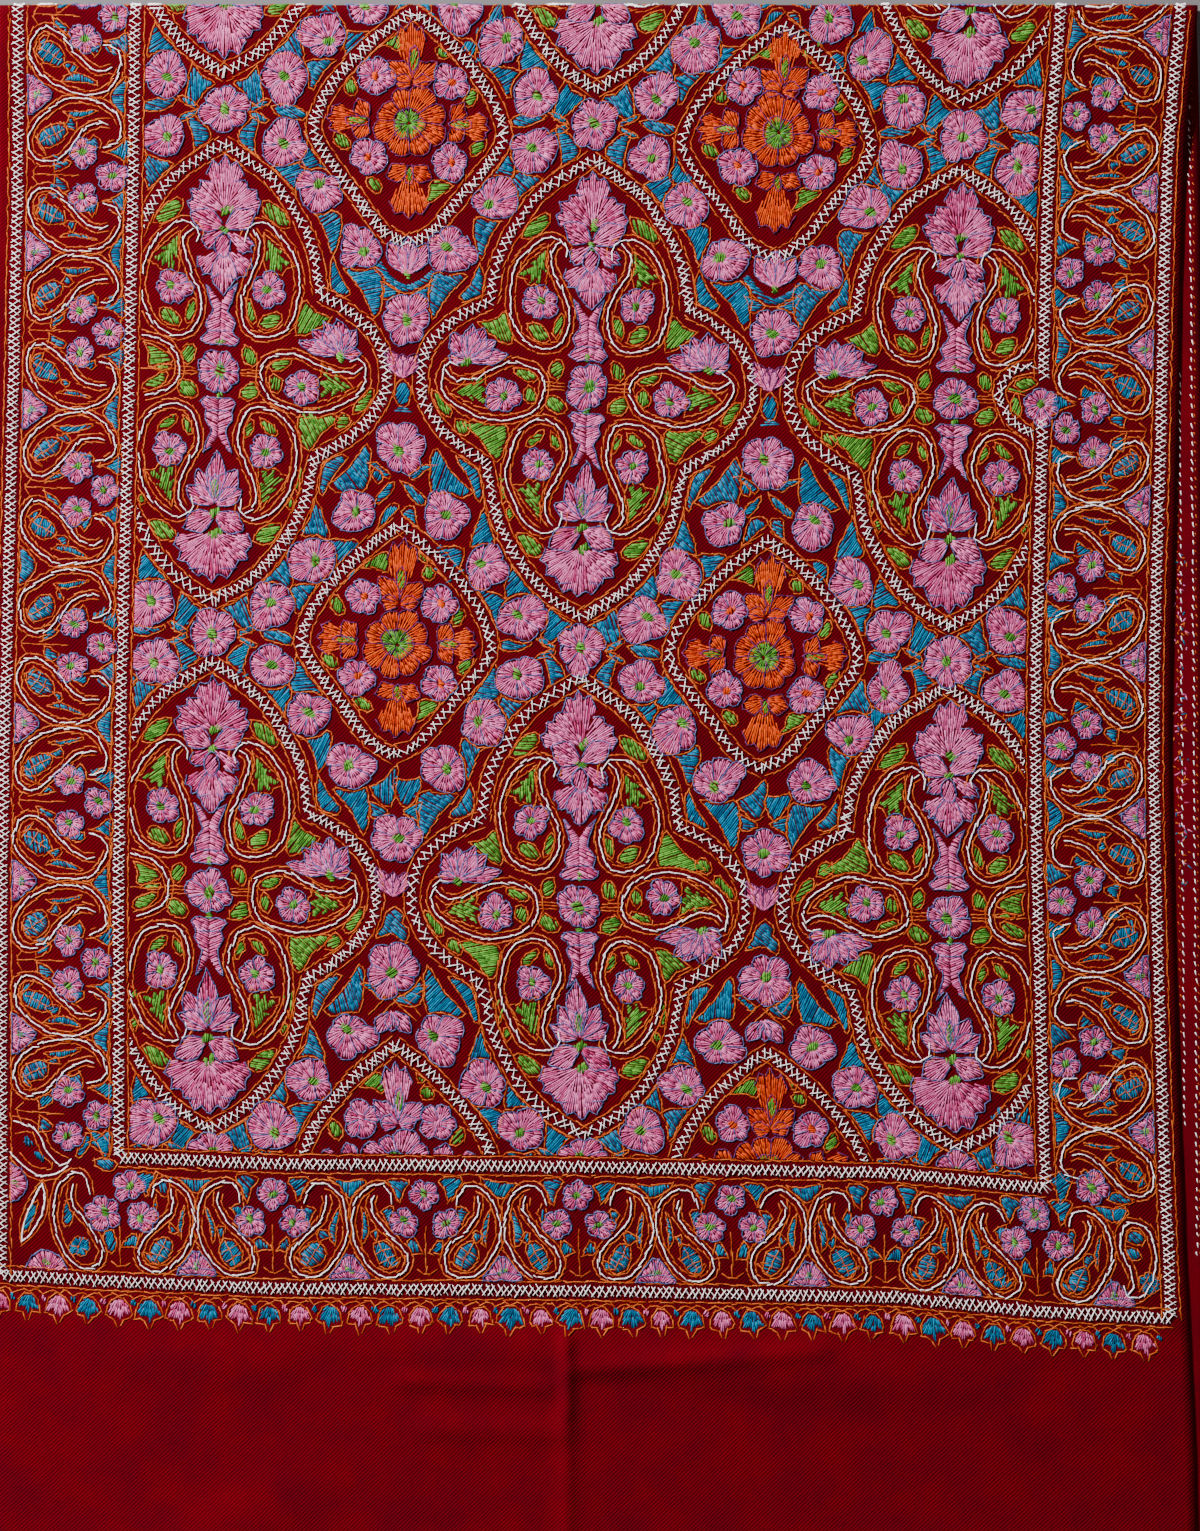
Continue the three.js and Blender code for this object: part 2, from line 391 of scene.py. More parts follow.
def fan(thread, outline, pivot, start=0.0, spacing=1.36, shade=0.0):
    """Fills an outline with stitches that spread from a pivot, long and short by turns."""
    outline = np.asarray(outline, float) - pivot
    following = np.roll(outline, -1, axis=0)
    middle = outline.mean(0)
    facing = math.atan2(middle[1], middle[0])
    angles = np.angle(np.exp(1j * (np.arctan2(outline[:, 1], outline[:, 0]) - facing)))
    radius = np.hypot(outline[:, 0], outline[:, 1])
    angles = angles[radius > 0.5]
    step = spacing / (np.percentile(radius, 80) * 0.92)
    near, far = [], []
    turns = np.arange(angles.min() + step * 0.35, angles.max(), step)
    for k, turn in enumerate(turns + rng.normal(0, step * 0.14, len(turns))):
        way = np.array([math.cos(facing + turn), math.sin(facing + turn)])
        side_a = way[0] * outline[:, 1] - way[1] * outline[:, 0]
        side_b = way[0] * following[:, 1] - way[1] * following[:, 0]
        crosses = (side_a > 0) != (side_b > 0)
        share = side_a[crosses] / (side_a[crosses] - side_b[crosses])
        hits = (outline[crosses] * (1 - share[:, None]) + following[crosses] * share[:, None]) @ way
        hits = hits[hits > 0.5]
        if not len(hits):
            continue
        rim = hits.max()
        root = max(start, hits.min() if len(hits) > 1 else 0.0)
        if rim - root < 1.0:
            continue
        # every second stitch stops short of the crowded middle
        inner = root + (rim - root) * (rng.uniform(0.0, 0.1) if k % 2 else rng.uniform(0.4, 0.56))
        near.append(way * inner)
        past = rng.uniform(-0.4, 0.5) if rng.random() < 0.72 else rng.uniform(-2.0, -1.0)
        far.append(way * (rim + past))
    if near:
        starts, ends = in_ranks(np.array(near) + pivot, np.array(far) + pivot, FAN_REACH)
        sew(thread, starts, ends, FILL_WIDTH - 0.02, FILL_HEIGHT, shade)


def herringbone(path, height, pitch, slack=0.16, overlap=0.35):
    """Crossed stitches of white wool along a path. Each runs on past its pins by overlap pitches."""
    points = spaced(path, pitch / 2, 0.1)
    ahead, across = headings(points)
    rise = np.where(np.arange(len(points)) % 2, 0.5, -0.5)[:, None] * height
    pins = points + across * rise
    lean = ahead * pitch * overlap
    starts, ends = pins[:-1] - lean[:-1], pins[1:] + lean[1:]
    starts = starts + rng.normal(0, slack * 2.6, starts.shape)
    ends = ends + rng.normal(0, slack * 2.6, ends.shape)
    high = np.where(np.arange(len(starts)) % 2, 1.25, 0.8)
    sew("white", starts, ends, WHITE_WIDTH, high)


def band(path):
    """A straight band of the frame: close herringbone between two orange lines."""
    herringbone(path, BAND_HEIGHT, BAND_PITCH)
    for side in (EDGE_LINE, -EDGE_LINE):
        line("orange", beside(smooth(path, 4), side), stray=0.35)


def bordered(path):
    """A side of a medallion or diamond: open herringbone between orange lines."""
    taken.extend((x, y, 5.4) for x, y in spaced(path, 4))
    herringbone(path, wobbly(5.9, 0.12), wobbly(4.4, 0.2), slack=0.26, overlap=0.28)
    for side in (4.9, -4.9):
        line("orange", beside(path, side), stray=0.4)


# ---- small motifs
PETAL_POINTS = 9
PETAL_ROUND = 2.6
TEETH = 3
LEAF_SWAY = 0.15
LEAF_HOLLOW = 0.12
FILL_MARGIN = 1.1
LINE_MARGIN = 0.2


def wobbly(value, share):
    """The value, larger or smaller by up to share of it."""
    return value * rng.uniform(1 - share, 1 + share)


def heart(x, y, size, angle=None, thread="green"):
    """The knot in the middle of a flower: a small uneven patch of satin stitch."""
    angle = rng.uniform(0, 180) if angle is None else angle
    corners = np.arange(6) * 60 + rng.uniform(-16, 16, 6)
    reach = size * rng.uniform(0.8, 1.15, 6) * (1 + 0.32 * np.cos(2 * np.radians(corners - angle - 50)))
    rim = np.column_stack([np.cos(np.radians(corners)), np.sin(np.radians(corners))]) * reach[:, None]
    satin(thread, rim + (x, y), angle, 1.15, 5, width=1.2, height=1.0)


def fine_line(thread, path, stitch=3.0):
    """The fine line round a petal."""
    line(thread, path, stitch, 0.6, 0.85, 0.2)


def flower(x, y, radius, turn=None, petals=5, thread="pink", edge="slate", centre="green",
           core=0.2, dip=0.17, sway=0.22, off=0.07, skew=0.03):
    """A round flower: petals spread from an off-centre heart, each edged with a fine line."""
    turn = rng.uniform(0, 360) if turn is None else turn
    taken.append((x, y, radius))
    middle = np.array([x, y]) + rng.normal(0, radius * off, 2).clip(-0.3 * radius, 0.3 * radius)
    lean = rng.uniform(0, 2 * math.pi, 2)
    widths = rng.uniform(1 - sway, 1 + sway, petals)
    widths *= 2 * math.pi / widths.sum()
    at = math.radians(turn)
    rims = []
    for wide in widths:
        reach = wobbly(radius, 0.1)
        angles = np.linspace(-wide / 2, wide / 2, PETAL_POINTS)
        reach = reach * (1 - dip * np.abs(angles / (wide / 2)) ** PETAL_ROUND)
        angles = angles + at + wide / 2
        reach = reach * (1 + skew * np.cos(2 * angles + lean[0]) + skew * np.cos(3 * angles + lean[1])
                         + 0.6 * skew * np.cos(4 * angles + 2 * lean[0]))
        rim = np.column_stack([np.cos(angles), np.sin(angles)]) * reach[:, None] + (x, y)
        at += wide
        fan(thread, np.vstack([middle, rim]), middle, core * radius * 0.72)
        rims.append(rim)
    for rim in rims:
        line(edge, np.vstack([middle + (rim[0] - middle) * 0.3, rim]), 3.0, 0.6, 0.8, 0.2)
    if centre:
        heart(*middle, core * radius * 1.4, thread=centre)


def blade(length, width):
    """A pointed petal that grows from the origin towards -y, with a shoulder each side."""
    side = [(0.16, -0.12), (0.42, -0.38), (0.5, -0.6), (0.34, -0.74), (0.22, -0.84)]
    left = [(-a * width, b * length) for a, b in side]
    right = [(a * width, b * length) for a, b in side[::-1]]
    return np.array([(0, 0)] + left + [(0, -length)] + right)


def toothed(length, width):
    """A broad petal that grows from the origin towards -y, with a toothed outer edge."""
    spots = np.linspace(-0.5, 0.5, 2 * TEETH + 1)
    reach = np.where(np.arange(2 * TEETH + 1) % 2, 1.0, 0.84) * (1 - 0.9 * spots ** 2)
    rim = np.column_stack([spots * width, -reach * length])
    return np.vstack([[(0, 0)], rim])


def spray(x, y, turn, petals, thread="pink", edge="slate"):
    """A lotus seen from the side. petals holds (slant, length, width, kind) from the back."""
    for slant, length, width, kind in petals:
        shape = kind(wobbly(length, 0.06), wobbly(width, 0.06))
        shape = moved(shape, x, y, turn + slant + rng.normal(0, 2.5))
        shape[1:] += rng.normal(0, 0.35, shape[1:].shape)
        pivot = shape[0] - (shape[1:].mean(0) - shape[0]) * 0.25
        fan(thread, shape, pivot, shade=rng.uniform(-0.4, 0.4))
        fine_line(edge, shape[1:], 2.8)


def both(slant, *petal):
    """Two petals of one kind that slant to either side."""
    return [(-slant, *petal), (slant, *petal)]


CROWN = [(-57, 25, 23, toothed), (57, 24, 22, toothed), (0, 34, 21, toothed)]
COLLAR = both(60, 22, 15, blade)
SHOULDERS = [(-52, 21, 10, toothed), (54, 17, 10, toothed)]
HANGING = both(40, 21, 17, toothed) + [(0, 27, 17, blade)]
RISING = both(62, 20, 12, blade) + both(31, 25, 13, blade) + [(0, 35, 13, blade)]
SKIRT = both(54, 27, 25, toothed) + [(0, 31, 27, toothed)]
HALF_LOTUS = [(-80, 13, 8, blade), (-32, 19, 12, blade), (2, 21, 13, blade), (28, 22, 13, blade),
              (50, 23, 12, blade), (76, 27, 10, blade)]
DIAMOND_TOP = both(80, 12, 10, blade) + both(48, 20, 13, blade) + [(0, 40, 19, toothed)]
DIAMOND_FOOT = both(70, 15, 12, blade) + [(0, 33, 24, toothed)]
DIAMOND_ARM = both(60, 14, 11, blade) + [(0, 25, 19, toothed)]
LOW_TULIP = both(38, 17, 10, blade) + [(0, 13, 9, blade)]

# half of a vase-shaped flower, from the middle of its cap to the notch of its forked tail
VASE = [(0, -16.5), (8, -17), (11.5, -14), (7, -9.5), (9, -5), (6.5, -1), (4.5, 2.5), (6, 8), (9, 17.5),
        (5, 13.5), (0, 7)]


def vase(x, y, turn, size):
    """A vase-shaped flower with a forked tail, sewn across in two slanting halves."""
    for mirror in (1, -1):
        half = np.array(VASE) * size
        half[1:-1] += rng.normal(0, 0.35, (len(VASE) - 2, 2))
        shape = moved(half, x, y, turn, mirror=mirror)
        satin("pink", shape, turn - mirror * 24, reach=6)
        fine_line("slate", shape[:-1])
    fine_line("slate", moved([(-6, -9), (6, -9)], x, y, turn, size))


def in_outline(thread, outline, slant, gap=1.5):
    """Sews a leaf: its filling and an orange line round it, both clear of the flowers."""
    global clearing
    clearing = True
    fine = spaced(outline, 2.2, closed=True)[:-1]
    middle = fine.mean(0)
    away = np.hypot(*(fine - middle).T).mean()
    satin(thread, kept_clear(fine, FILL_MARGIN), slant, reach=5.5)
    grown = middle + (fine - middle) * (1 + gap / max(away, 1))
    line("orange", kept_clear(grown, LINE_MARGIN), 3.2, 0.76, 0.7, 0.3, closed=True)
    clearing = False


def leaf(thread, tips):
    """A leaf through three tips, rounded on two sides and hollowed from the last to the first."""
    a, b, c = (np.asarray(tip, float) + rng.normal(0, 0.6, 2) for tip in tips)
    middle = (a + b + c) / 3
    a, b, c = (middle + (tip - middle) * 1.2 for tip in (a, b, c))
    back = (a + c) / 2 + (b - (a + c) / 2) * LEAF_HOLLOW
    outline = [a]
    for start, end in ((a, b), (b, c)):
        outward = (start + end) / 2 - middle
        outline += [start + (end - start) * 0.28 + outward * 0.36, (start + end) / 2 + outward * 0.3,
                    start + (end - start) * 0.72 + outward * 0.42, end]
    outline.append(back)
    slant = math.degrees(math.atan2(*(b - back)[::-1]))
    in_outline(thread, np.array(outline), slant + rng.normal(0, 18))


def slip(thread, x, y, length, width, turn, edge="orange"):
    """A plain pointed leaf about its middle, lying along turn degrees."""
    t = np.linspace(0, math.pi, 6)
    top = np.column_stack([-np.cos(t) * length / 2, np.sin(t) * width / 2 * (1 + LEAF_SWAY)])
    low = np.column_stack([np.cos(t) * length / 2, -np.sin(t) * width / 2 * (1 - LEAF_SWAY)])[1:-1]
    outline = moved(np.vstack([top, low]), x, y, turn)
    outline += rng.normal(0, 0.3, outline.shape)
    slant = turn + rng.uniform(12, 40)
    if edge == "orange":
        in_outline(thread, outline, slant, gap=1.4)
        return
    satin(thread, outline, slant, reach=5, height=1.1)
    if edge:
        middle = outline.mean(0)
        grown = middle + (outline - middle) * (1 + 2.4 / (length + width) * 2)
        line(edge, grown, 3.2, 0.7, 0.8, 0.25, closed=True)


# right half of a leaf with fingers and of the line round it, shares of its width and length
FINGERS = [(0, -0.5), (0.2, -0.22), (0.1, -0.24), (0.42, 0.06), (0.14, 0.02), (0.52, 0.36), (0.3, 0.4),
           (0.16, 0.26), (0, 0.5)]
ROUND_FINGERS = [(0, -0.64), (0.3, -0.25), (0.5, 0.05), (0.66, 0.5), (0.2, 0.46), (0, 0.6)]


def doubled(half, width, length):
    """A whole outline from its right half."""
    right = np.array(half) * (width, length)
    return np.vstack([right, (right * (-1, 1))[1:-1][::-1]])


def ragged(thread, x, y, length, width, turn):
    """A leaf of pairs of fingers, like a small fir tree."""
    outline = doubled(FINGERS, width * 1.15, length)
    outline += rng.normal(0, 0.3, outline.shape)
    satin(thread, moved(outline, x, y, turn), turn + 90 + rng.choice((-28, 28)), 1.1, 4.6)
    around = doubled(ROUND_FINGERS, width * 1.2, length)
    line("orange", moved(around, x, y, turn), 3.0, 0.76, 0.7, 0.4, closed=True)


# A paisley's white line from the tip of its hook, round the top, down its back, round its
# broad end and up to the hook again. Shares of its length, the hook towards +s.
BOTEH = [(0.23, 0.83), (0.235, 0.93), (0.11, 1.0), (-0.05, 0.94), (-0.2, 0.74), (-0.265, 0.52),
         (-0.245, 0.32), (-0.165, 0.1), (0.03, 0.0), (0.2, 0.06), (0.265, 0.31), (0.19, 0.52),
         (0.11, 0.7), (0.1, 0.86), (0.17, 0.95)]
LEANING = [(0.47, 0.8), (0.44, 0.92), (0.34, 0.99), (0.19, 0.95), (0.07, 0.82), (0.02, 0.6),
           (0.04, 0.4), (0.14, 0.2), (0.27, 0.05), (0.43, 0.0), (0.58, 0.06), (0.62, 0.2),
           (0.54, 0.36), (0.4, 0.49), (0.29, 0.62), (0.235, 0.76), (0.25, 0.87)]


def paisley(place, shape=BOTEH, gap=2.9):
    """A paisley drawn with a white line between two orange ones. place(s, t) gives its points."""
    rim = np.array([place(s + rng.normal(0, 0.008), t + rng.normal(0, 0.008)) for s, t in shape])
    rim = smooth(rim, 1.5)
    line("white", rim, 4.4, 0.82, 1.0, 0.42)
    taken.extend((px, py, gap - 0.2) for px, py in spaced(rim, 3))
    around = 0.5 * np.sum(rim[:, 0] * np.roll(rim[:, 1], -1) - np.roll(rim[:, 0], -1) * rim[:, 1])
    outward = -math.copysign(gap, around)
    body = rim[len(rim) // 8:]
    for path, side in ((rim, outward), (body, -outward)):
        line("orange", without_loops(beside(path, side), rim, gap), 3.8, 0.8, 0.65, 0.35)


def without_loops(path, rim, gap):
    """The points of a moved line that are not nearer to the first line than they should be."""
    away = np.hypot(path[:, None, 0] - rim[None, :, 0], path[:, None, 1] - rim[None, :, 1]).min(1)
    kept = path[away > gap * 0.86]
    return kept if len(kept) > 3 else path


# ---- layout, millimetres on the sheet
COLUMNS = (-220.5, 2.4, 225.0)
ROWS = (-84.0, 231.0, 542.0)
DIAMOND_COLUMNS = (-109.0, 113.7)
DIAMOND_ROWS = (83.0, 389.0, 698.0)
GAP_ROWS = (-70, 233, 544)
CROSSING_ROWS = (74, 388, 694)
OUTER_LEFT, OUTER_RIGHT, OUTER_END = -345.0, 350.0, 772.6
INNER_LEFT, INNER_RIGHT, INNER_END = -275.0, 278.4, 698.0
FOLD_PAST = -20.0
BREAK = (218, 242)   # where the inner frame leaves room for the crossing flower

MEDALLION_ARCH = [(0, -137), (31, -115), (50, -87), (57, -69), (60, -49)]
MEDALLION_LOBE = [(60, -49), (79, -39), (96, -22), (101, -1), (97, 15), (84, 32), (60, 48)]
MEDALLION_FOOT = [(60, 48), (57, 60), (53, 78), (39, 104), (21, 124), (0, 137)]
DIAMOND_SIDE = [(0, -71), (23, -53), (46, -27), (57, -3), (53, 11), (32, 38), (15, 59), (0, 67)]

# row and column of a medallion: its sides that are upside down, and its sides left empty
FLIPPED_SIDES = {(2, 1): (1,), (2, 2): (-1,)}
EMPTY_SIDES = {(1, 2): (1,)}


def work(rows, x, y):
    """Sews motifs about x, y. A row holds a kind, its place and what else that kind takes."""
    for kind, dx, dy, *rest in rows:
        kind(x + dx, y + dy, *rest)


def leaves(thread, rows, x=0, y=0, m=1, f=1, **looks):
    """Sews leaves about x, y, mirrored where m is -1 and upside down where f is -1.

    A row holds three tips, or a kind, its place, length, width, a turn that stays as it is and a
    turn that mirroring turns over.
    """
    for row in rows:
        if len(row) == 3:
            leaf(thread, [(x + m * dx, y + f * dy) for dx, dy in row])
        else:
            kind, dx, dy, length, width, fixed, turn = row
            kind(thread, x + m * dx, y + f * dy, length, width, fixed + m * f * turn, **looks)


def middle_flower(x, y):
    flower(x, y, 13, 0, petals=8, core=0.26, dip=0.12)


def axis_leaf(x, y, length, width, thread):
    slip(thread, x, y, length, width, 90, "slate")


# the flowers on the upright axis of a medallion
AXIS = (
    (vase, 0, -34, 180, 1.06), (spray, 1, -74, 180, HANGING), (spray, 1, -85, 180, SHOULDERS),
    (axis_leaf, 1, -76, 12, 8, "pink"), (spray, 1, -96, 0, CROWN), (spray, 1, -86, 0, COLLAR),
    (heart, 2.5, -97, 3.6), (heart, 1, -85, 3.0), (middle_flower, 0, 0), (vase, 0, 32, 0, 0.98),
    (heart, 0, -18, 2.6), (heart, 0, 14.5, 2.6), (spray, -1, 79.5, 0, RISING),
    (spray, -1, 97, 180, SKIRT), (spray, -1, 85, 180, COLLAR), (axis_leaf, -1, 70, 13, 4.6, "green"),
    (heart, -1, 84.5, 3.6, 90), (heart, 0, 97, 3.9, 90),
)
# leaves of one half of a medallion: in its upright paisleys, in and round its side paisley, in a
# side arm that the frame cuts off, and round the upright paisleys
IN_UPRIGHTS = (
    (ragged, 31.5, -71, 22, 12, 0, -25), (slip, 30, -32, 13, 7.5, 0, -35),
    (slip, 18, -36.5, 12, 4.6, 0, 73), (ragged, 31, 68, 22, 12, 180, 18),
    (slip, 30.5, 31.5, 11, 4.6, 0, 42), (slip, 18.5, 33, 9, 3.6, 0, -67),
)
IN_SIDE = ((slip, 37, -6.5, 12, 6, 0, -20), (slip, 34.5, 6, 9, 6, 80, 0))
ROUND_SIDE = (
    ((63, -35), (49, -26), (52, -42)), (slip, 87.5, 13.5, 16, 6, 0, -52),
    (slip, 75, 26.5, 9, 6.5, 0, -40), ((70, 27), (51, 26), (56, 43)),
)
CUT_SIDE = (
    ((43, -13.5), (31, -8), (43, -4.5)), (slip, 38.5, 6.8, 14, 6, 0, 30),
    (slip, 34, -1.6, 9, 2.4, 0, 4),
)
ROUND_UPRIGHTS = (
    (slip, 33, -95.5, 19, 8.5, 0, 41), (slip, 49, 64, 13, 4.4, 0, 80),
    (slip, 45.5, 77.5, 8, 4.6, 0, 60), (slip, 32, 95.5, 17, 9, 0, -31),
    (slip, 18.5, -10, 10, 6.5, 90, -20), (slip, 18.8, 10.5, 12, 8, 0, -35),
)
CUT_ARC = [(48, -21), (33, -17), (25.5, -8), (24, -0.5), (26, 6.5), (33, 12.5), (44, 16)]
SIDE_REACH = 80
FIELD_HALF = 270


def side_arm(x, y, m, f):
    """A medallion's paisley that lies on its side, its lotus and the leaves round them."""
    paisley(lambda s, t: (x + m * (25.4 + 64 * t), y + f * (4.5 - 66 * s)))
    flower(x + m * 50.5, y + f * 6.5, 10.9, petals=6, core=0.22)
    ragged("green", x + m * 70, y + f * 5, 19, 15, m * 97)
    leaves("green", IN_SIDE, x, y, m, f)
    spray(x + m * 73, y - f * 13, 0 if f > 0 else 180,
          [(-slant * m * f, *rest) for slant, *rest in HALF_LOTUS])
    heart(x + m * 73.5, y - f * 12.5, 3.6)
    leaves("green", ROUND_SIDE, x, y, m, f)


def cut_arm(x, y, m):
    """What shows of a medallion's side where the frame cuts it off."""
    arc = smooth(moved(CUT_ARC, x, y, mirror=m))
    line("white", arc, 4.2, 0.82, 1.0, 0.42)
    for side in (2.6, -2.6):
        line("orange", beside(arc, side), 3.8)
    leaves("green", CUT_SIDE, x, y, m)
    line("orange", moved([(48, -0.5), (28, -1)], x, y, mirror=m))


def medallion(x, y, flipped=(), empty=()):
    """A four-armed medallion. flipped names the sides whose lotus is under its paisley."""
    for part in (MEDALLION_ARCH, MEDALLION_LOBE, MEDALLION_FOOT):
        for m in (1, -1):
            path = moved(smooth(part), x, y, mirror=m)
            bordered(path + rng.normal(0, 0.5, 2))
    work(AXIS, x, y)
    for m in (-1, 1):
        paisley(lambda s, t: (x + m * (30 - 68 * s), y - 21.4 - 68 * t))
        paisley(lambda s, t: (x + m * (30 - 68 * s), y + 20.5 + 67 * t))
        flower(x + m * 29, y - 50, 10.9, petals=6, core=0.22)
        flower(x + m * 29, y + 47, 10.4, petals=6, core=0.22)
        leaves("green", IN_UPRIGHTS, x, y, m)
        if abs(x + m * SIDE_REACH) < FIELD_HALF:
            side_arm(x, y, m, -1 if m in flipped else 1)
        elif m not in empty:
            cut_arm(x, y, m)
        leaves("green", ROUND_UPRIGHTS, x, y, m)
        for dy in (-1.8, 0, 1.8):
            line("orange", moved([(13.5, dy), (25, dy * 1.3)], x, y, mirror=m))


DIAMOND_LEAVES = (
    ((-19, -46), (-10, -53), (-9, -44)), (slip, 19, -43, 7, 6, 60, 0), (slip, 15, -52, 5, 3, 60, 0),
    (slip, -36, -21, 10, 6, 60, 0), (slip, 37, -17, 10, 6, 120, 0), (slip, -40, 12, 10, 6, 40, 0),
    (slip, 42, 13, 10, 6, 130, 0), (slip, -20, 37, 10, 6, 40, 0), ((13, 45), (25, 36), (15, 36)),
)


def diamond(x, y, fill="flame", edge="violet", raised=0.0):
    """A diamond with a cross of four sprays round a flower, drawn raised millimetres up in it."""
    for m in (1, -1):
        bordered(moved(smooth(DIAMOND_SIDE), x, y, mirror=m) + rng.normal(0, 0.6, 2))
    y -= raised
    spray(x + 1, y - 24, 0, DIAMOND_TOP, fill, edge)
    spray(x + 1, y + 26, 180, DIAMOND_FOOT, fill, edge)
    for m in (-1, 1):
        spray(x + m * 25, y - 1, m * 90, DIAMOND_ARM, fill, edge)
        slip("green", x + m * 31, y - 1, 12, 4.4, 0, edge)
    flower(x, y, 21.5, 0, petals=8, thread=fill, edge=edge, centre=None, core=0.42, dip=0.14)
    flower(x, y, 9.8, petals=5, thread="green", edge=edge, centre=None, core=0.1, dip=0.1)
    slip("green", x + 2, y - 38, 12, 4.6, 90, edge)
    slip("green", x + 1, y + 30, 8, 3.4, 90, edge)
    for dx, dy in ((-21.5, -27), (25, -25), (-23.5, 21), (25.5, 22.5)):
        flower(x + dx, y + dy, 11.2, centre=fill)
    leaves("green", DIAMOND_LEAVES, x, y)


# blue leaves: in a half of a waist, with a low tulip, with a tulip on a crescent, and in a half of a
# crossing
GAP_LEAVES = (
    ((-54, -98), (-41, -97), (-46, -80)), ((-44, -70), (-45, -55), (-35, -55)),
    ((-34, -64), (-17, -64), (-19, -43)), ((-14, -58), (-6, -54), (-13, -51)),
    ((-36, 47), (-46, 51), (-47, 66)), ((-39, 62), (-22, 63), (-23, 41)),
    ((-17, 50), (-8, 51), (-10, 56)), ((-52, 75), (-45, 94), (-57, 91)),
)
LOW_TULIP_LEAVES = (((-13, -68), (-3, -60), (-1, -79)), ((15, -74), (6, -60), (2, -71)))
CRESCENT_LEAVES = (
    (slip, -14, 56, 7, 4, 70, 0), (slip, -10, 66.5, 14, 4.4, -49, 0), (slip, 9, 66.5, 18, 4.6, 40, 0),
    ((-12, 89), (-9, 76), (-3, 77)), ((12, 90), (3, 79), (9, 77)),
    ((-42, 100), (-25, 100), (-36, 115)), ((23, 102), (36, 101), (31, 115)),
)
TIP_LEAVES = (
    ((-41, -46), (-44, -31), (-30, -35)), ((-62, -30), (-48, -27), (-53, -16)),
    ((-18, -23), (-21, -5), (-8, -15)), ((-17, 26), (-10, 15), (-21, 7)),
    ((-54, 14), (-49, 30), (-66, 32)), ((-44, 45), (-45, 31), (-31, 37)),
)
TIP_SLIPS = ((slip, 21, -3.2, 12, 2.8, 0, -28), (slip, 21, 4, 12, 2.8, 0, 24))
TREFOIL = [(0, 4.5), (5, 8), (3.5, 13), (7.5, 16), (6.5, 23), (-1, 18), (-11, 21), (-6, 14), (-5, 8.5)]
CRESCENT = [(-17, -71), (-8, -61), (1, -57), (10, -61), (17, -67)]


def big_flower(x, y):
    """One of the large flowers between the medallions, none quite like the next."""
    flower(x + rng.normal(0, 0.6), y + rng.normal(0, 0.6), wobbly(14.1, 0.05),
           petals=int(rng.integers(4, 7)), sway=0.35, off=0.2, skew=0.07, dip=0.12)


def gap_flowers(x, y):
    for m in (1, -1):
        for dy in (-80, 78):
            big_flower(x + m * 27.5, y + dy)
    flower(x + 1, y - 38, 15.4, petals=6, skew=0.05)
    flower(x - 1, y + 39.5, 15.6, petals=6, off=0.16, skew=0.05)


def tulip_petal(shape, edge):
    """One pink petal, sewn from its root."""
    fan("pink", shape, shape[0])
    fine_line(edge, shape[1:], 2.8)


def low_tulip(x, y):
    """A low tulip on crossed stems, and the three-lobed leaf in the middle of its waist."""
    leaves("blue", [((14, 46), (13, 59), (1, 55))], x, y)
    for m in (-1, 1):
        line("orange", moved([(0, 51), (m * 16, 66)], x, y))
        line("orange", moved([(-m * 1, 57), (m * 12, 69)], x, y))
    spray(x - 2, y + 63, 180, LOW_TULIP)
    leaves("blue", LOW_TULIP_LEAVES, x, y)
    in_outline("blue", moved(TREFOIL, x, y), 40)


def tulip_on_crescent(x, y):
    """A tulip near the fold's side of its waist, and the small leaves of the other side."""
    for slant in (-32, 32, 0):
        tulip_petal(moved(blade(23, 13), x + 1, y - 65, slant), "slate")
    heart(x + 1, y - 65, 2.8)
    crescent = smooth(CRESCENT)
    outline = np.vstack([beside(crescent, 2.0), beside(crescent, -2.0)[::-1]])
    satin("blue", moved(outline, x, y), 20)
    line("orange", moved(beside(crescent, 3.6), x, y))
    leaves("blue", [(slip, 0, 6.5, 14, 8.5, 90, 0)], x, y)
    satin("blue", moved([(-6, 17), (0, 13), (6, 17)], x, y), 0)
    leaves("blue", CRESCENT_LEAVES, x, y)


def gap(x, y, low):
    """What fills the waist between two medallions of a row, low with a low tulip in it."""
    for m in (1, -1):
        leaves("blue", GAP_LEAVES, x, y, m)
    (low_tulip if low else tulip_on_crescent)(x, y)
    for slant, length in ((-30, 20), (30, 18), (0, 15)):
        shape = moved(blade(length, 10), x - 1, y - 3, slant)
        tulip_petal(shape + rng.normal(0, 0.3, shape.shape), "violet")


def tip_flowers(x, y):
    flower(x, y, 15.0, petals=6)
    for m in (1, -1):
        for dx, dy in ((36, -18), (36, 18.5), (59, -46), (58, 46)):
            if INNER_LEFT + 4 < x + m * dx < INNER_RIGHT - 4:
                big_flower(x + m * dx, y + dy)


def tips(x, y):
    """What fills the cross between the tips of two medallions and two diamonds."""
    for m in (1, -1):
        leaves("blue", TIP_LEAVES, x, y, m)
        slip("blue", x + m * 40, y - 1 + m, 20, 6.5, m * 12)
        leaves("blue", TIP_SLIPS, x, y, m)


def border_flower(x, y, radius):
    flower(x, y, radius, core=0.24, dip=0.24)


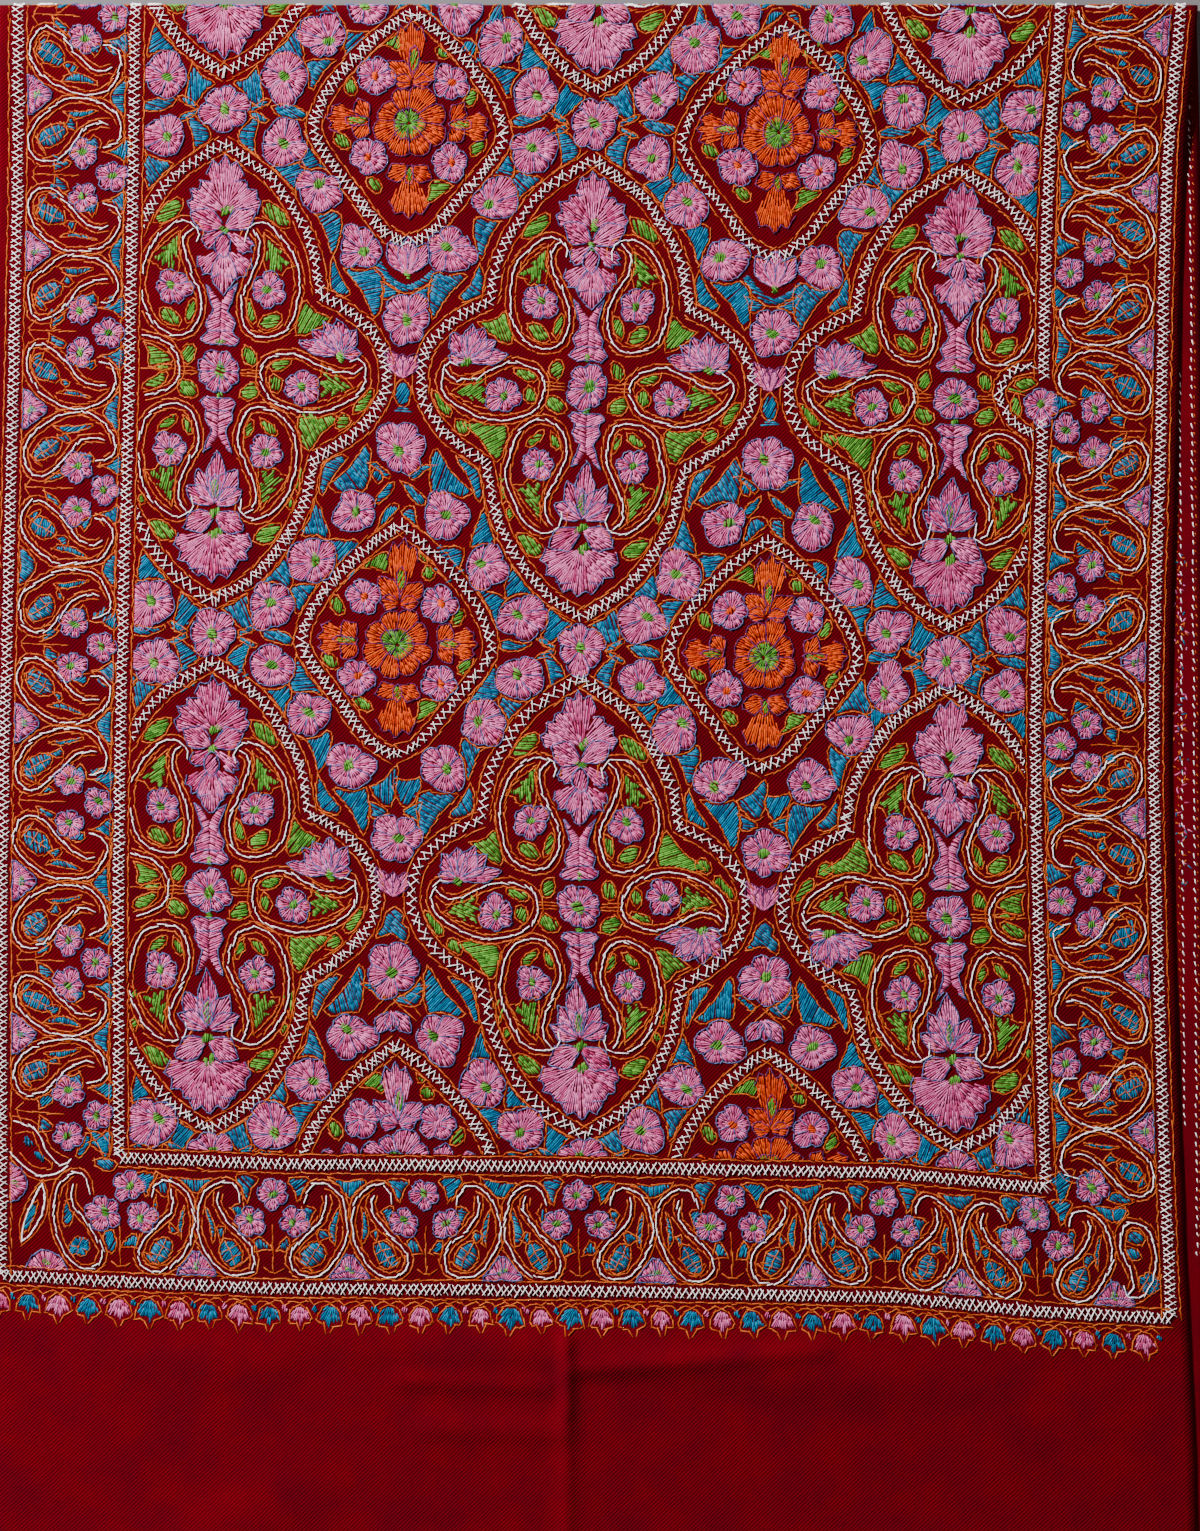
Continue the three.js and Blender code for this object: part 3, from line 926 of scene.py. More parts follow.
def triple(place, whole=True):
    """Three small flowers on a stem in the border. place(s, t) gives a point of the sheet."""
    line("orange", [place(0, 3), place(0, 30)])
    for s, t in ((0, 50), (-13, 33), (13, 33))[0 if whole else 2:]:
        border_flower(*place(s, t), 9.3)
    line("orange", [place(-5, 5), place(0, 1), place(6, 5)])
    for m in (-1, 1)[0 if whole else 1:]:
        for tip_places in (((4, 16), (8, 22), (9.5, 15)), ((15, 48), (20, 57), (10.5, 56.5))):
            leaf("blue", [place(m * s, t) for s, t in tip_places])


def seeds(middle, towards):
    """The filling of a border paisley's broad end: a blue almond crossed by orange lines."""
    middle = np.array(middle) + rng.normal(0, 0.5, 2)
    ahead = np.array(towards) - middle
    ahead = ahead / math.hypot(*ahead)
    across = np.array([-ahead[1], ahead[0]])
    turns = np.arange(10) * math.pi / 5
    long, wide = wobbly(8.2, 0.1), wobbly(5.4, 0.1)
    rim = middle + np.outer(np.cos(turns) * long, ahead) + np.outer(np.sin(turns) * wide, across)
    rim += rng.normal(0, 0.35, rim.shape)
    satin("blue", rim, math.degrees(math.atan2(across[1], across[0])) + rng.normal(0, 20))
    line("orange", middle + (rim - middle) * 1.2, 3.4, 0.72, 0.7, 0.35, closed=True)
    line("orange", [middle - ahead * 7.6, middle + ahead * 7.6], 3.8, 0.72, 1.0, 0.4)
    for step in (-2.7, 2.7):
        spot = middle + ahead * step
        line("orange", [spot - across * 4.8, spot + across * 4.8], 4.8, 0.72, 1.0, 0.5)


PAIR_LEAVES = (
    ((8.5, 23), (10.5, 29), (7, 38)), ((13, 25), (16, 27), (15, 22)),
    ((27, 7), (29, 10), (24, 6)), ((22, 39), (26, 41), (24, 34)),
)
FOOT = ((-12, -1), (-11, 2), (-2, 13.5), (2, 13), (11, 2), (12, -1))


def pair(place, sides=(-1, 1), wide=1.0, foot="pink"):
    """Two paisleys back to back in the border, hooked away from each other."""
    for m in sides:
        paisley(lambda s, t: place(m * s * 56 * wide, t * 56), LEANING, 2.6)
        seeds(place(m * 21 * wide, 13.2), place(m * 16.6 * wide, 22))
        for tip_places in PAIR_LEAVES:
            leaf("blue", [place(m * s * wide, t) for s, t in tip_places])
    if foot == "pink":
        rim = [place(s, t) for s, t in FOOT]
        fan("pink", rim, np.array(place(0, -4)))
        line("slate", rim + rim[:1], 3, 0.6, 0.85)
        for corner in rim[1:5]:
            line("slate", [place(0, 4), corner], 3, 0.6, 0.85)
        heart(*place(0, 4.5), 3.0)
    else:
        leaf("blue", [place(-8, 0), place(0, 7), place(8, 0)])
    leaf("blue", [place(-8, 57), place(0, 50), place(8, 57)])


def blue_flower(x, y, radius):
    flower(x, y, radius, petals=4, thread="blue", edge="orange", centre="orange", core=0.1)


LEFT_CORNER_WHITE = (
    [(-337, 680), (-324.4, 684.3), (-318.4, 696.3), (-308.8, 705.3), (-303.4, 700.5)],
    [(-341, 697), (-336.4, 702.3), (-324.4, 711.3), (-312.4, 710), (-305.8, 705.3)],
)
LEFT_CORNER_ORANGE = (
    [(-338, 677), (-323, 681), (-315, 695), (-305, 700)],
    [(-340, 701), (-337, 706), (-324, 714.5), (-311, 713)],
    [(-337, 688), (-327, 686), (-321.5, 699), (-313, 706), (-325, 707), (-334, 699)],
)
LEFT_CORNER_LEAVES = (
    (slip, -296, 692, 14, 6, 118, 0), ((-291, 684), (-282, 688), (-285, 697)),
    (slip, -283, 702, 11, 6, 10, 0), (slip, -280, 748, 13, 6, 80, 0), (slip, -249, 713, 12, 8, 60, 0),
)
RIGHT_CORNER_LEAVES = (
    (slip, 322, 702, 14, 5, 10, 0), (slip, 322, 712, 9, 6, 120, 0), ((283, 693), (294, 690), (286, 704)),
)


def left_corner():
    """The odd pieces that turn the border at the bottom left."""
    border_flower(-284.5, 731.5, 10.6)
    border_flower(-269, 714.5, 9.6)
    paisley(lambda s, t: (-314.6 + s * 48, 766 - t * 58), LEANING, 2.6)
    blue_flower(-298.5, 752.5, 6.4)
    slip("blue", -305, 733, 14, 5, 100)
    for reach in (0, 2.4):
        rim = smooth([(-333, 752 + reach), (-331 - reach, 738), (-321, 717 - reach),
                      (-320 + reach, 731), (-327 + reach, 746), (-333, 752 + reach)])
        line("white" if reach == 0 else "orange", rim, 4.2, 1.0 - reach * 0.1)
    slip("blue", -328, 737, 17, 4, 113)
    for path in LEFT_CORNER_WHITE:
        line("white", smooth(path), 4.2, 1.0)
    for path in LEFT_CORNER_ORANGE:
        line("orange", smooth(path), 3.8)
    slip("blue", -329, 692, 7, 4.5, 60, edge=None)
    slip("blue", -322.5, 700, 9, 4, 50, edge=None)
    half_flower(-342, 717, 90)
    half_flower(-318, 768, 0)
    leaves("blue", LEFT_CORNER_LEAVES)


def right_corner():
    """The reversed paisley that fills the border at the bottom right."""
    border_flower(306, 697, 10.6)
    border_flower(270, 713, 9.4)
    paisley(lambda s, t: (332 - s * 40, 716 + t * 46))
    slip("blue", 331, 725, 9, 7, 10)
    slip("blue", 329, 735, 8, 6, 40)
    blue_flower(338, 752, 6.6)
    leaves("blue", RIGHT_CORNER_LEAVES)


CROSSING_ARC = [(273, 210.4), (261.3, 212.8), (253.3, 220.6), (252.3, 229), (256.5, 239.2),
                (263.7, 246.4), (273, 251.8)]


def crossing_flower():
    """A flower worked over a break in the inner band, in an arc of herringbone."""
    global window
    inner = window
    window = [window[0], INNER_RIGHT, *window[2:]]
    arc = smooth(CROSSING_ARC)
    herringbone(arc, 5.0, 4.4, slack=0.25)
    for side in (4.2, -4.2):
        line("orange", beside(arc, side), 3.6, stray=0.4)
    window = list(WHOLE_SHEET)
    flower(277, 234, 11.6, petals=6)
    slip("green", 268, 221, 12, 6.5, -8)
    slip("green", 262.5, 235, 11, 5, 82)
    line("orange", [(258, 226), (268, 228.5)])
    line("green", [(258, 224.6), (267, 227)], width=1.0)
    window = inner


def half_flower(x, y, turn):
    """A flower cut by the band it grows from."""
    rim = moved([(-13, 0), (-9, -8), (-3, -12), (3, -12), (9, -8), (13, 0)], x, y, turn)
    fan("pink", rim, np.array(moved([(0, 3)], x, y, turn)[0]))
    line("slate", np.vstack([rim, rim[:1]]), 3, 0.6, 0.85)
    heart(*moved([(0, -5)], x, y, turn)[0], 2.4)


TULIP = [(-1.5, -5.6), (1.5, -5.6), (4.6, -2.6), (6.8, 3.5), (2.6, 3.4), (0, 7.6), (-2.6, 3.4),
         (-6.8, 3.5), (-4.6, -2.6)]
TULIP_EDGE = [(-1.2, 10.4), (-3.4, 4.4), (-8.2, 5.4), (-6, -3), (-2, -7), (2.4, -6.6), (6, -3),
              (8.2, 5.4), (3.4, 4.4), (0.8, 9.8)]
TULIP_COUNT = 39
TULIP_PITCH = 17.9
SWAG = ((-9, -6), (-4, -9), (0, -7), (5, -9.5), (9, -6))


def fringe_tulip(x, y, thread, size):
    turn = rng.normal(0, 5)
    shape = moved(TULIP, x, y, turn, size) + rng.normal(0, 0.35, (len(TULIP), 2))
    fan(thread, shape, shape[1] - (0, 3), spacing=1.15)
    line("orange", moved(TULIP_EDGE, x, y, turn, size), 4.5, 0.76, 0.7, 0.3)


def fringe():
    """The row of small tulips past the end of the frame, with a swag between one and the next."""
    y = OUTER_END + 16
    for k in range(TULIP_COUNT):
        x = OUTER_LEFT - 2 + TULIP_PITCH * k
        fringe_tulip(x, y, ("pink", "blue")[k % 2], rng.uniform(0.9, 1.1))
        line("orange", moved(SWAG, x, y), 3.4)
        slip(("blue", "pink")[k % 2], x + 9, y - 4, 4.5, 3, 80, edge=None)


def field():
    """Medallions, diamonds and what fills the ground between them."""
    for row, y in enumerate(ROWS):
        for column, x in enumerate(COLUMNS):
            at = row, column
            medallion(x, y, FLIPPED_SIDES.get(at, ()), EMPTY_SIDES.get(at, ()))
    crossing_flower()
    for x in DIAMOND_COLUMNS:
        for y in DIAMOND_ROWS:
            looks = ("pink", "slate") if y > 600 and x < 0 else ("flame", "violet")
            raised = 0 if y > 100 else 5 if x < 0 else 8
            diamond(x, y, *looks, raised)
    gaps = [(x, y) for y in GAP_ROWS for x in DIAMOND_COLUMNS]
    crossings = [(x, y) for x in COLUMNS for y in CROSSING_ROWS]
    for x, y in gaps:
        gap_flowers(x, y)
    for x, y in crossings:
        tip_flowers(x, y)
    for x, y in gaps:
        gap(x, y, low=y > 500)
    for x, y in crossings:
        tips(x, y)


def border():
    """Pairs of paisleys and triples of flowers by turns along three sides."""
    left, right, end = OUTER_LEFT + 7, OUTER_RIGHT - 7, OUTER_END - 7
    for k in range(-1, 8):
        last = k == 6
        if k < 7:
            at = 69 + 94.2 * k
            pair(lambda s, t: (left + t, at - 5 * last + s), wide=1.0 if last else 1.14,
                 foot="blue" if k == 3 else "pink")
        at = 22 + 94 * k - (6 if k == 7 else 0)
        triple(lambda s, t: (left + t, at + s))
        at = 12 + 93.6 * k - (5 if k == 7 else 0)
        pair(lambda s, t: (right - t, at + s), wide=1.12)
        if k < 7:
            at = 60 + 94.2 * k
            triple(lambda s, t: (right - t, at + s))
    for k in range(7):
        at = -229 + 91 * k
        pair(lambda s, t: (at + s, end - t), sides=(-1, 1) if k < 6 else (-1,))
        at = -274.5 + 91 * k
        triple(lambda s, t: (at + s, end - t), whole=k > 0)
    left_corner()
    right_corner()


def frames():
    """The outer and the inner frame. The inner one breaks off for the crossing flower."""
    for left, right, end, breaks in (
            (OUTER_LEFT, OUTER_RIGHT, OUTER_END, ()),
            (INNER_LEFT, INNER_RIGHT, INNER_END, BREAK)):
        band([(left, FOLD_PAST), (left, end)])
        stops = (FOLD_PAST, *breaks, end)
        for start, stop in zip(stops[::2], stops[1::2]):
            band([(right, start), (right, stop)])
        band([(left, end), (right, end)])


def draw():
    """Sews the whole pattern, from the field outwards."""
    global window
    inside = EDGE_LINE + 1
    window = [INNER_LEFT + inside, INNER_RIGHT - inside, FOLD_PAST, INNER_END - inside]
    field()
    taken.clear()
    window = [OUTER_LEFT + 5, OUTER_RIGHT - 5, FOLD_PAST, OUTER_END - 5]
    border()
    window = list(WHOLE_SHEET)
    frames()
    fringe()


# at some sides of the sheet, how far the pattern has slipped near the fold and far from it
NEAR_SIDE = (-360, -223, 0, 223, 362)
NEAR_SLIP = (-14.4, -9.6, 0, 6.6, 9.6)
FAR_SIDE = (-360, -285, -185, 0, 185, 268, 362)
FAR_SLIP = (-10.8, -6, -1.8, 0, 3.6, 12, 17)
NEAR_ENDS, FAR_STARTS = 530, 690


def drawn_out_of_square(points):
    """The embroidery runs a little out of square with the sheet. Gives sheet places."""
    u, v = points[:, 0], points[:, 1]
    near, far = np.interp(u, NEAR_SIDE, NEAR_SLIP), np.interp(u, FAR_SIDE, FAR_SLIP)
    k = smoothstep(v, NEAR_ENDS, FAR_STARTS)
    wanted = near * (1 - k) + far * k
    by_cloth = curve_through(SLIP_SIDE, SLIP, u) * smoothstep(np.abs(v), TURN_HALF, SLIP_FADE)
    return np.column_stack([u, v + wanted - by_cloth])


# ---- meshes
def new_piece(name, points, faces, uv, tone, material, slot):
    """A mesh piece that rides on the stole. points are in metres of the row frame."""
    mesh = bpy.data.meshes.new(name)
    mesh.vertices.add(len(points))
    mesh.vertices.foreach_set("co", points.astype(np.float32).ravel())
    mesh.loops.add(faces.size)
    mesh.loops.foreach_set("vertex_index", faces.astype(np.int32).ravel())
    mesh.polygons.add(len(faces))
    mesh.polygons.foreach_set("loop_start", np.arange(0, faces.size, faces.shape[1], dtype=np.int32))
    mesh.update(calc_edges=True)
    mesh.polygons.foreach_set("use_smooth", np.ones(len(faces), bool))
    layer = mesh.uv_layers.new(name="sheet")
    layer.data.foreach_set("uv", uv[faces.ravel()].astype(np.float32).ravel())
    mesh.attributes.new("tone", "FLOAT", "POINT").data.foreach_set("value", tone.astype(np.float32))
    mesh.validate()
    piece = bpy.data.objects.new(name, mesh)
    bpy.context.collection.objects.link(piece)
    mesh.materials.append(material)
    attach(piece, "root")
    return piece


def face_outward(points, faces):
    """Whether triangles enclose their volume from the outside."""
    a, b, c = (points[faces[:, k]] for k in range(3))
    middle = points.mean(0)
    return np.einsum("ij,ij->i", a - middle, np.cross(b - middle, c - middle)).sum() > 0


def step_lines(low, high, wanted, step):
    """Places from low to high, no further apart than step, the wanted ones among them."""
    fixed = sorted({low, high, *(at for at in wanted if low < at < high)})
    lines = [np.array([low])]
    for start, end in zip(fixed, fixed[1:]):
        pieces = math.ceil((end - start) / step)
        lines.append(np.linspace(start, end, pieces + 1)[1:])
    return np.concatenate(lines)


def quads(a, b, c, d):
    return np.stack([a, b, c, d], axis=-1).reshape(-1, 4)


CLOTH_STEP = 6.0
LOWER_STEP = 24.0
ROLL_LINES = 15
CREASED_SIDES = tuple(np.arange(-34, 5, 2.0))
CREASED_RUNS = tuple(np.arange(14, 110, 4.0)) + tuple(np.arange(800, 870, 3.0))
# where the painted shade of the ground among the stitches ends along the sheet, starts at the fold and ends
# at the sides
PAINTED_SHADE_END = (772, 790)
PAINTED_SHADE_START = (-9, -7)
PAINTED_SHADE_EDGE = (352, 358)


def cloth_mesh():
    """Both faces and the four edges of the sheet, from one free end round the fold to the other.

    Also gives each point's place on the flat sheet, and a mask of painted shade: 1 where it lies among the
    stitches.
    """
    sides = step_lines(-HALF_WIDTH, HALF_WIDTH, CREASED_SIDES, CLOTH_STEP)
    lower = step_lines(-HALF_LENGTH, -TURN_HALF, (), LOWER_STEP)
    roll = np.linspace(-TURN_HALF, TURN_HALF, ROLL_LINES)[1:-1]
    upper = step_lines(TURN_HALF, HALF_LENGTH, CREASED_RUNS, CLOTH_STEP)
    across, along = np.meshgrid(sides, np.concatenate([lower, roll, upper]), indexing="ij")
    points = [place(across, along, np.full(across.shape, lift)).reshape(-1, 3)
              for lift in (WALL / 2, -WALL / 2)]
    outer = np.arange(across.size).reshape(across.shape)
    inner = outer + across.size
    faces = [
        quads(outer[:-1, :-1], outer[:-1, 1:], outer[1:, 1:], outer[1:, :-1]),
        quads(inner[:-1, :-1], inner[1:, :-1], inner[1:, 1:], inner[:-1, 1:]),
        quads(outer[0, 1:], outer[0, :-1], inner[0, :-1], inner[0, 1:]),
        quads(outer[-1, :-1], outer[-1, 1:], inner[-1, 1:], inner[-1, :-1]),
        quads(outer[:-1, 0], outer[1:, 0], inner[1:, 0], inner[:-1, 0]),
        quads(outer[1:, -1], outer[:-1, -1], inner[:-1, -1], inner[1:, -1]),
    ]
    flat = np.column_stack([across.ravel(), along.ravel()]) / 1000.0
    # painted shade: the mask that darkens the ground among the stitches, standing in for the shade the
    # threads cast on it
    worked = (1 - smoothstep(along, *PAINTED_SHADE_END)) * smoothstep(along, *PAINTED_SHADE_START)
    for side in (across, -across):
        worked = worked * (1 - smoothstep(side, *PAINTED_SHADE_EDGE))
    return np.vstack(points), np.vstack(faces), np.vstack([flat, flat]), np.tile(worked.ravel(), 2)


# The corners of one stitch: 1 at its far end, 1 where the shoulder draws it in, its side, 1 where
# it has the stitch's height, and its own rise. Then its closed faces. A plump stitch has points.
PLUMP = (
    ((0, 0, 0, 0, 0.1), (0, 1, -1, 0, 0), (0, 1, 0, 1, 0), (0, 1, 1, 0, 0),
     (1, 1, -1, 0, 0), (1, 1, 0, 1, 0), (1, 1, 1, 0, 0), (1, 0, 0, 0, 0.1)),
    ((0, 1, 2), (0, 2, 3), (0, 3, 1), (1, 4, 5), (1, 5, 2), (2, 5, 6),
     (2, 6, 3), (3, 6, 4), (3, 4, 1), (7, 5, 4), (7, 6, 5), (7, 4, 6)),
)
PLAIN = (
    ((0, 0, -1, 0, 0), (0, 1, 0, 1, 0), (0, 0, 1, 0, 0),
     (1, 0, -1, 0, 0), (1, 1, 0, 1, 0), (1, 0, 1, 0, 0)),
    ((0, 1, 2), (5, 4, 3), (0, 3, 4), (0, 4, 1), (1, 4, 5), (1, 5, 2), (2, 5, 3), (2, 3, 0)),
)
TURN_LIMIT = -5.0   # the embroidery is shown this far past the crest of the fold
SHOULDER = 0.9
SHOULDER_SHARE = 0.24
PLY_LENGTH = 10.0


def stitch_meshes(rows, base=0.0, form=PLAIN, back=False):
    """One closed sliver of thread for each stitch, laid base millimetres above the folded cloth."""
    begin, finish = rows[:, 0:2], rows[:, 2:4]
    if not back:
        begin, finish = drawn_out_of_square(begin), drawn_out_of_square(finish)
        kept = np.minimum(begin[:, 1], finish[:, 1]) > TURN_LIMIT
        rows, begin, finish = rows[kept], begin[kept], finish[kept]
    run = finish - begin
    length = np.maximum(np.hypot(run[:, 0], run[:, 1]), 1e-6)[:, None]
    ahead = run / length
    across = np.column_stack([-ahead[:, 1], ahead[:, 0]]) * (rows[:, 4] / 2)[:, None]
    shoulder = np.minimum(length * SHOULDER_SHARE, SHOULDER)
    corners, faces = (np.array(part) for part in form)
    far, drawn, side, tall, rise = corners.T
    drawn = drawn * (1 - 2 * far)
    flat = (begin[:, None] * (1 - far)[:, None] + finish[:, None] * far[:, None]
            + (shoulder * ahead)[:, None] * drawn[:, None] + across[:, None] * side[:, None])
    lift = (rows[:, 5:6] * tall + rise + WALL / 2 + base) * (-1.0 if back else 1.0)
    gone = length * far + shoulder * drawn
    flat = flat.reshape(-1, 2)
    points = place(flat[:, 0], flat[:, 1], lift.ravel())
    if not face_outward(points[:len(corners)], faces):
        faces = faces[:, ::-1]
    triangles = (faces[None] + len(corners) * np.arange(len(rows))[:, None, None]).reshape(-1, 3)
    uv = np.column_stack([gone.ravel() / PLY_LENGTH, np.tile((side + 1) / 2, len(rows))])
    return points, triangles, uv, np.repeat(rows[:, 6], len(corners))


# lines of dashes on the back, under the herringbone bands: side, thread and width
BACK_LINES = ((353.8, "white", 0.66), (346.6, "white", 0.6), (355.7, "orange", 0.6),
              (344.6, "orange", 0.6))
BACK_START, BACK_END = 24.0, 770.0
BACK_HEIGHT = 0.45
BACK_CLEAR = 1.2
# loose bits of colour: how many in all and in the border, and where they lie
BITS, BORDER_BITS = 176, 150
BORDER_RUN, END_RUN, BIT_SIDE = (340, 545), (782, 796), (338, 350)


def wrong_side():
    """What shows of the back of the stitches on the lower layer, past the upper layer's edge."""
    chance = np.random.default_rng(23)
    backs = {"white": [], "orange": [], "pink": [], "blue": []}
    for line_side, thread, wide in BACK_LINES:
        at = BACK_START
        while at < BACK_END:
            lean = chance.uniform(0.2, 1.4)
            long = chance.uniform(2.4, 3.6) if thread == "white" else chance.uniform(1.0, 2.6)
            side = line_side + chance.normal(0, 0.25)
            backs[thread].append((side - lean / 2, at, side + lean / 2, at + long, wide))
            at += chance.uniform(5.0, 5.9)
    for k in range(BITS):
        at = chance.uniform(*(BORDER_RUN if k < BORDER_BITS else END_RUN))
        turn = chance.uniform(0, math.pi)
        long = chance.uniform(1.5, 3.6)
        side = chance.uniform(*BIT_SIDE)
        thread = chance.choice(["orange", "pink", "blue"])
        backs[thread].append((side, at, side + long * math.cos(turn), at + long * math.sin(turn), 0.8))
    shown = {}
    for thread, found in backs.items():
        rows = np.array(found)
        upper_edge = HALF_WIDTH + curve_through(STRAY_RUN, STRAY_RIGHT, rows[:, 1])
        x = rows[:, [0, 2]].min(1) + curve_through(LOWER_RUN, LOWER_RIGHT, rows[:, 1])
        rows = rows[x > upper_edge + BACK_CLEAR]
        tone = chance.uniform(-1, 1, len(rows))
        high = np.full(len(rows), BACK_HEIGHT)
        shown[thread] = np.column_stack([rows * (1, -1, 1, -1, 1), high, tone])
    return shown


# ---- materials
def linear(*colour):
    """An sRGB colour from 0 to 255 as the linear colour that shaders use."""
    return tuple(c / 12.92 if c <= 0.04045 else ((c + 0.055) / 1.055) ** 2.4
                 for c in (v / 255 for v in colour)) + (1.0,)


def new_material(name, roughness, specular=0.5):
    """A material with its node tree and its shader."""
    material = bpy.data.materials.new(name)
    material.use_nodes = True
    shader = material.node_tree.nodes["Principled BSDF"]
    shader.inputs["Roughness"].default_value = roughness
    shader.inputs["Specular IOR Level"].default_value = specular
    return material, material.node_tree, shader


def node_of(tree, kind, inputs=(), **settings):
    """A shader node with its settings and the values of its inputs."""
    made = tree.nodes.new("ShaderNode" + kind)
    for name, value in settings.items():
        setattr(made, name, value)
    for name, value in inputs:
        made.inputs[name].default_value = value
    return made


def ramp_of(tree, *stops):
    """A colour ramp. A stop is its position and its colour."""
    ramp = node_of(tree, "ValToRGB")
    for element, (position, colour) in zip(ramp.color_ramp.elements, stops):
        element.position = position
        element.color = linear(*colour)
    return ramp


def join(tree, links):
    """Links nodes. A row holds a node, its output, the next node and its input."""
    for start, output, end, entry in links:
        tree.links.new(start.outputs[output], end.inputs[entry])


GROUND_DARK, GROUND_LIGHT = (77, 1, 13), (94, 1, 15)
# painted shade: the colour that the wool is multiplied by where the ground lies among the stitches
PAINTED_SHADE_AMONG_STITCHES = (0.7, 0.6, 0.62, 1.0)


def wool_material():
    """Red wool: clouded colour, a fine twill and fluff, and painted shade that darkens it among the stitches.
    """
    material, tree, shader = new_material("wool_ground", 0.95, 0.03)
    where = node_of(tree, "TexCoord")
    cloud = node_of(tree, "TexNoise", [("Scale", 30.0), ("Detail", 6.0), ("Roughness", 0.62)])
    fluff = node_of(tree, "TexNoise", [("Scale", 900.0), ("Detail", 3.0)])
    ramp = ramp_of(tree, (0.3, GROUND_DARK), (0.72, GROUND_LIGHT))
    twill = node_of(tree, "TexWave", [("Scale", 260.0), ("Distortion", 1.5), ("Detail", 1.0),
                                      ("Detail Scale", 2.0)],
                    wave_type="BANDS", bands_direction="DIAGONAL")
    mix = node_of(tree, "Mix", data_type="RGBA", blend_type="MULTIPLY")
    mix.inputs["Factor"].default_value = 0.35
    # on the cloth the tone attribute is the painted shade mask, 1 among the stitches
    among = node_of(tree, "Attribute", attribute_name="tone")
    shaded = node_of(tree, "Mix", data_type="RGBA", blend_type="MULTIPLY")
    shaded.inputs["B"].default_value = PAINTED_SHADE_AMONG_STITCHES
    add = node_of(tree, "Math", operation="ADD")
    bump = node_of(tree, "Bump", [("Strength", 0.5), ("Distance", 0.0006)])
    join(tree, (
        (where, "UV", twill, "Vector"), (where, "Object", cloud, "Vector"),
        (where, "Object", fluff, "Vector"), (cloud, "Fac", ramp, "Fac"), (ramp, "Color", mix, "A"),
        (fluff, "Color", mix, "B"), (among, "Fac", shaded, "Factor"), (mix, "Result", shaded, "A"),
        (shaded, "Result", shader, "Base Color"), (twill, "Fac", add, 0), (fluff, "Fac", add, 1),
        (add, "Value", bump, "Height"), (bump, "Normal", shader, "Normal"),
    ))
    return material


def thread_material(name, dark, light):
    """Loosely twisted wool: every stitch has its own tone, with ply lines along it."""
    material, tree, shader = new_material(name, 0.85, 0.055)
    where = node_of(tree, "TexCoord")
    tone = node_of(tree, "Attribute", attribute_name="tone")
    share = node_of(tree, "MapRange", [("From Min", -1.4), ("From Max", 1.4)])
    fuzz = node_of(tree, "TexNoise", [("Scale", 1400.0), ("Detail", 2.0)])
    blend = node_of(tree, "Math", [(1, 0.45)], operation="MULTIPLY_ADD")
    ramp = ramp_of(tree, (0.1, dark), (0.95, light))
    less = node_of(tree, "Math", [(1, -0.22)], operation="ADD")
    ply = node_of(tree, "TexWave", [("Scale", 3.0), ("Distortion", 1.0)],
                  wave_type="BANDS", bands_direction="DIAGONAL")
    bump = node_of(tree, "Bump", [("Strength", 0.6), ("Distance", 0.0003)])
    join(tree, (
        (tone, "Fac", share, "Value"), (where, "Object", fuzz, "Vector"), (fuzz, "Fac", blend, 0),
        (share, "Result", less, 0), (less, "Value", blend, 2), (blend, "Value", ramp, "Fac"),
        (ramp, "Color", shader, "Base Color"), (where, "UV", ply, "Vector"),
        (ply, "Fac", bump, "Height"), (bump, "Normal", shader, "Normal"),
    ))
    return material


# thread: dark and light colour, material slot, millimetres above the cloth, number of pieces
THREAD_LOOKS = {
    "orange": ((146, 50, 17), (205, 103, 39), "orange_thread", 0.0, 2),
    "flame": ((167, 36, 6), (210, 77, 15), "orange_thread", 0.0, 1),
    "pink": ((158, 39, 89), (218, 120, 171), "pink_thread", 0.0, 2),
    "blue": ((0, 55, 91), (0, 126, 164), "blue_thread", 0.0, 1),
    "green": ((36, 84, 20), (101, 165, 60), "green_thread", 0.0, 1),
    "white": ((250, 228, 230), (255, 250, 251), "white_thread", 0.2, 1),
    "slate": ((50, 58, 110), (105, 117, 167), "violet_thread", 0.25, 1),
    "violet": ((67, 20, 65), (114, 55, 108), "violet_thread", 0.25, 1),
}

# ---- the stole
# the cloth's tone attribute carries the painted shade mask from cloth_mesh
cloth = new_piece("stole_cloth", *cloth_mesh(), wool_material(), "wool")
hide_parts("upper_layer", "fold_roll", "lower_layer")

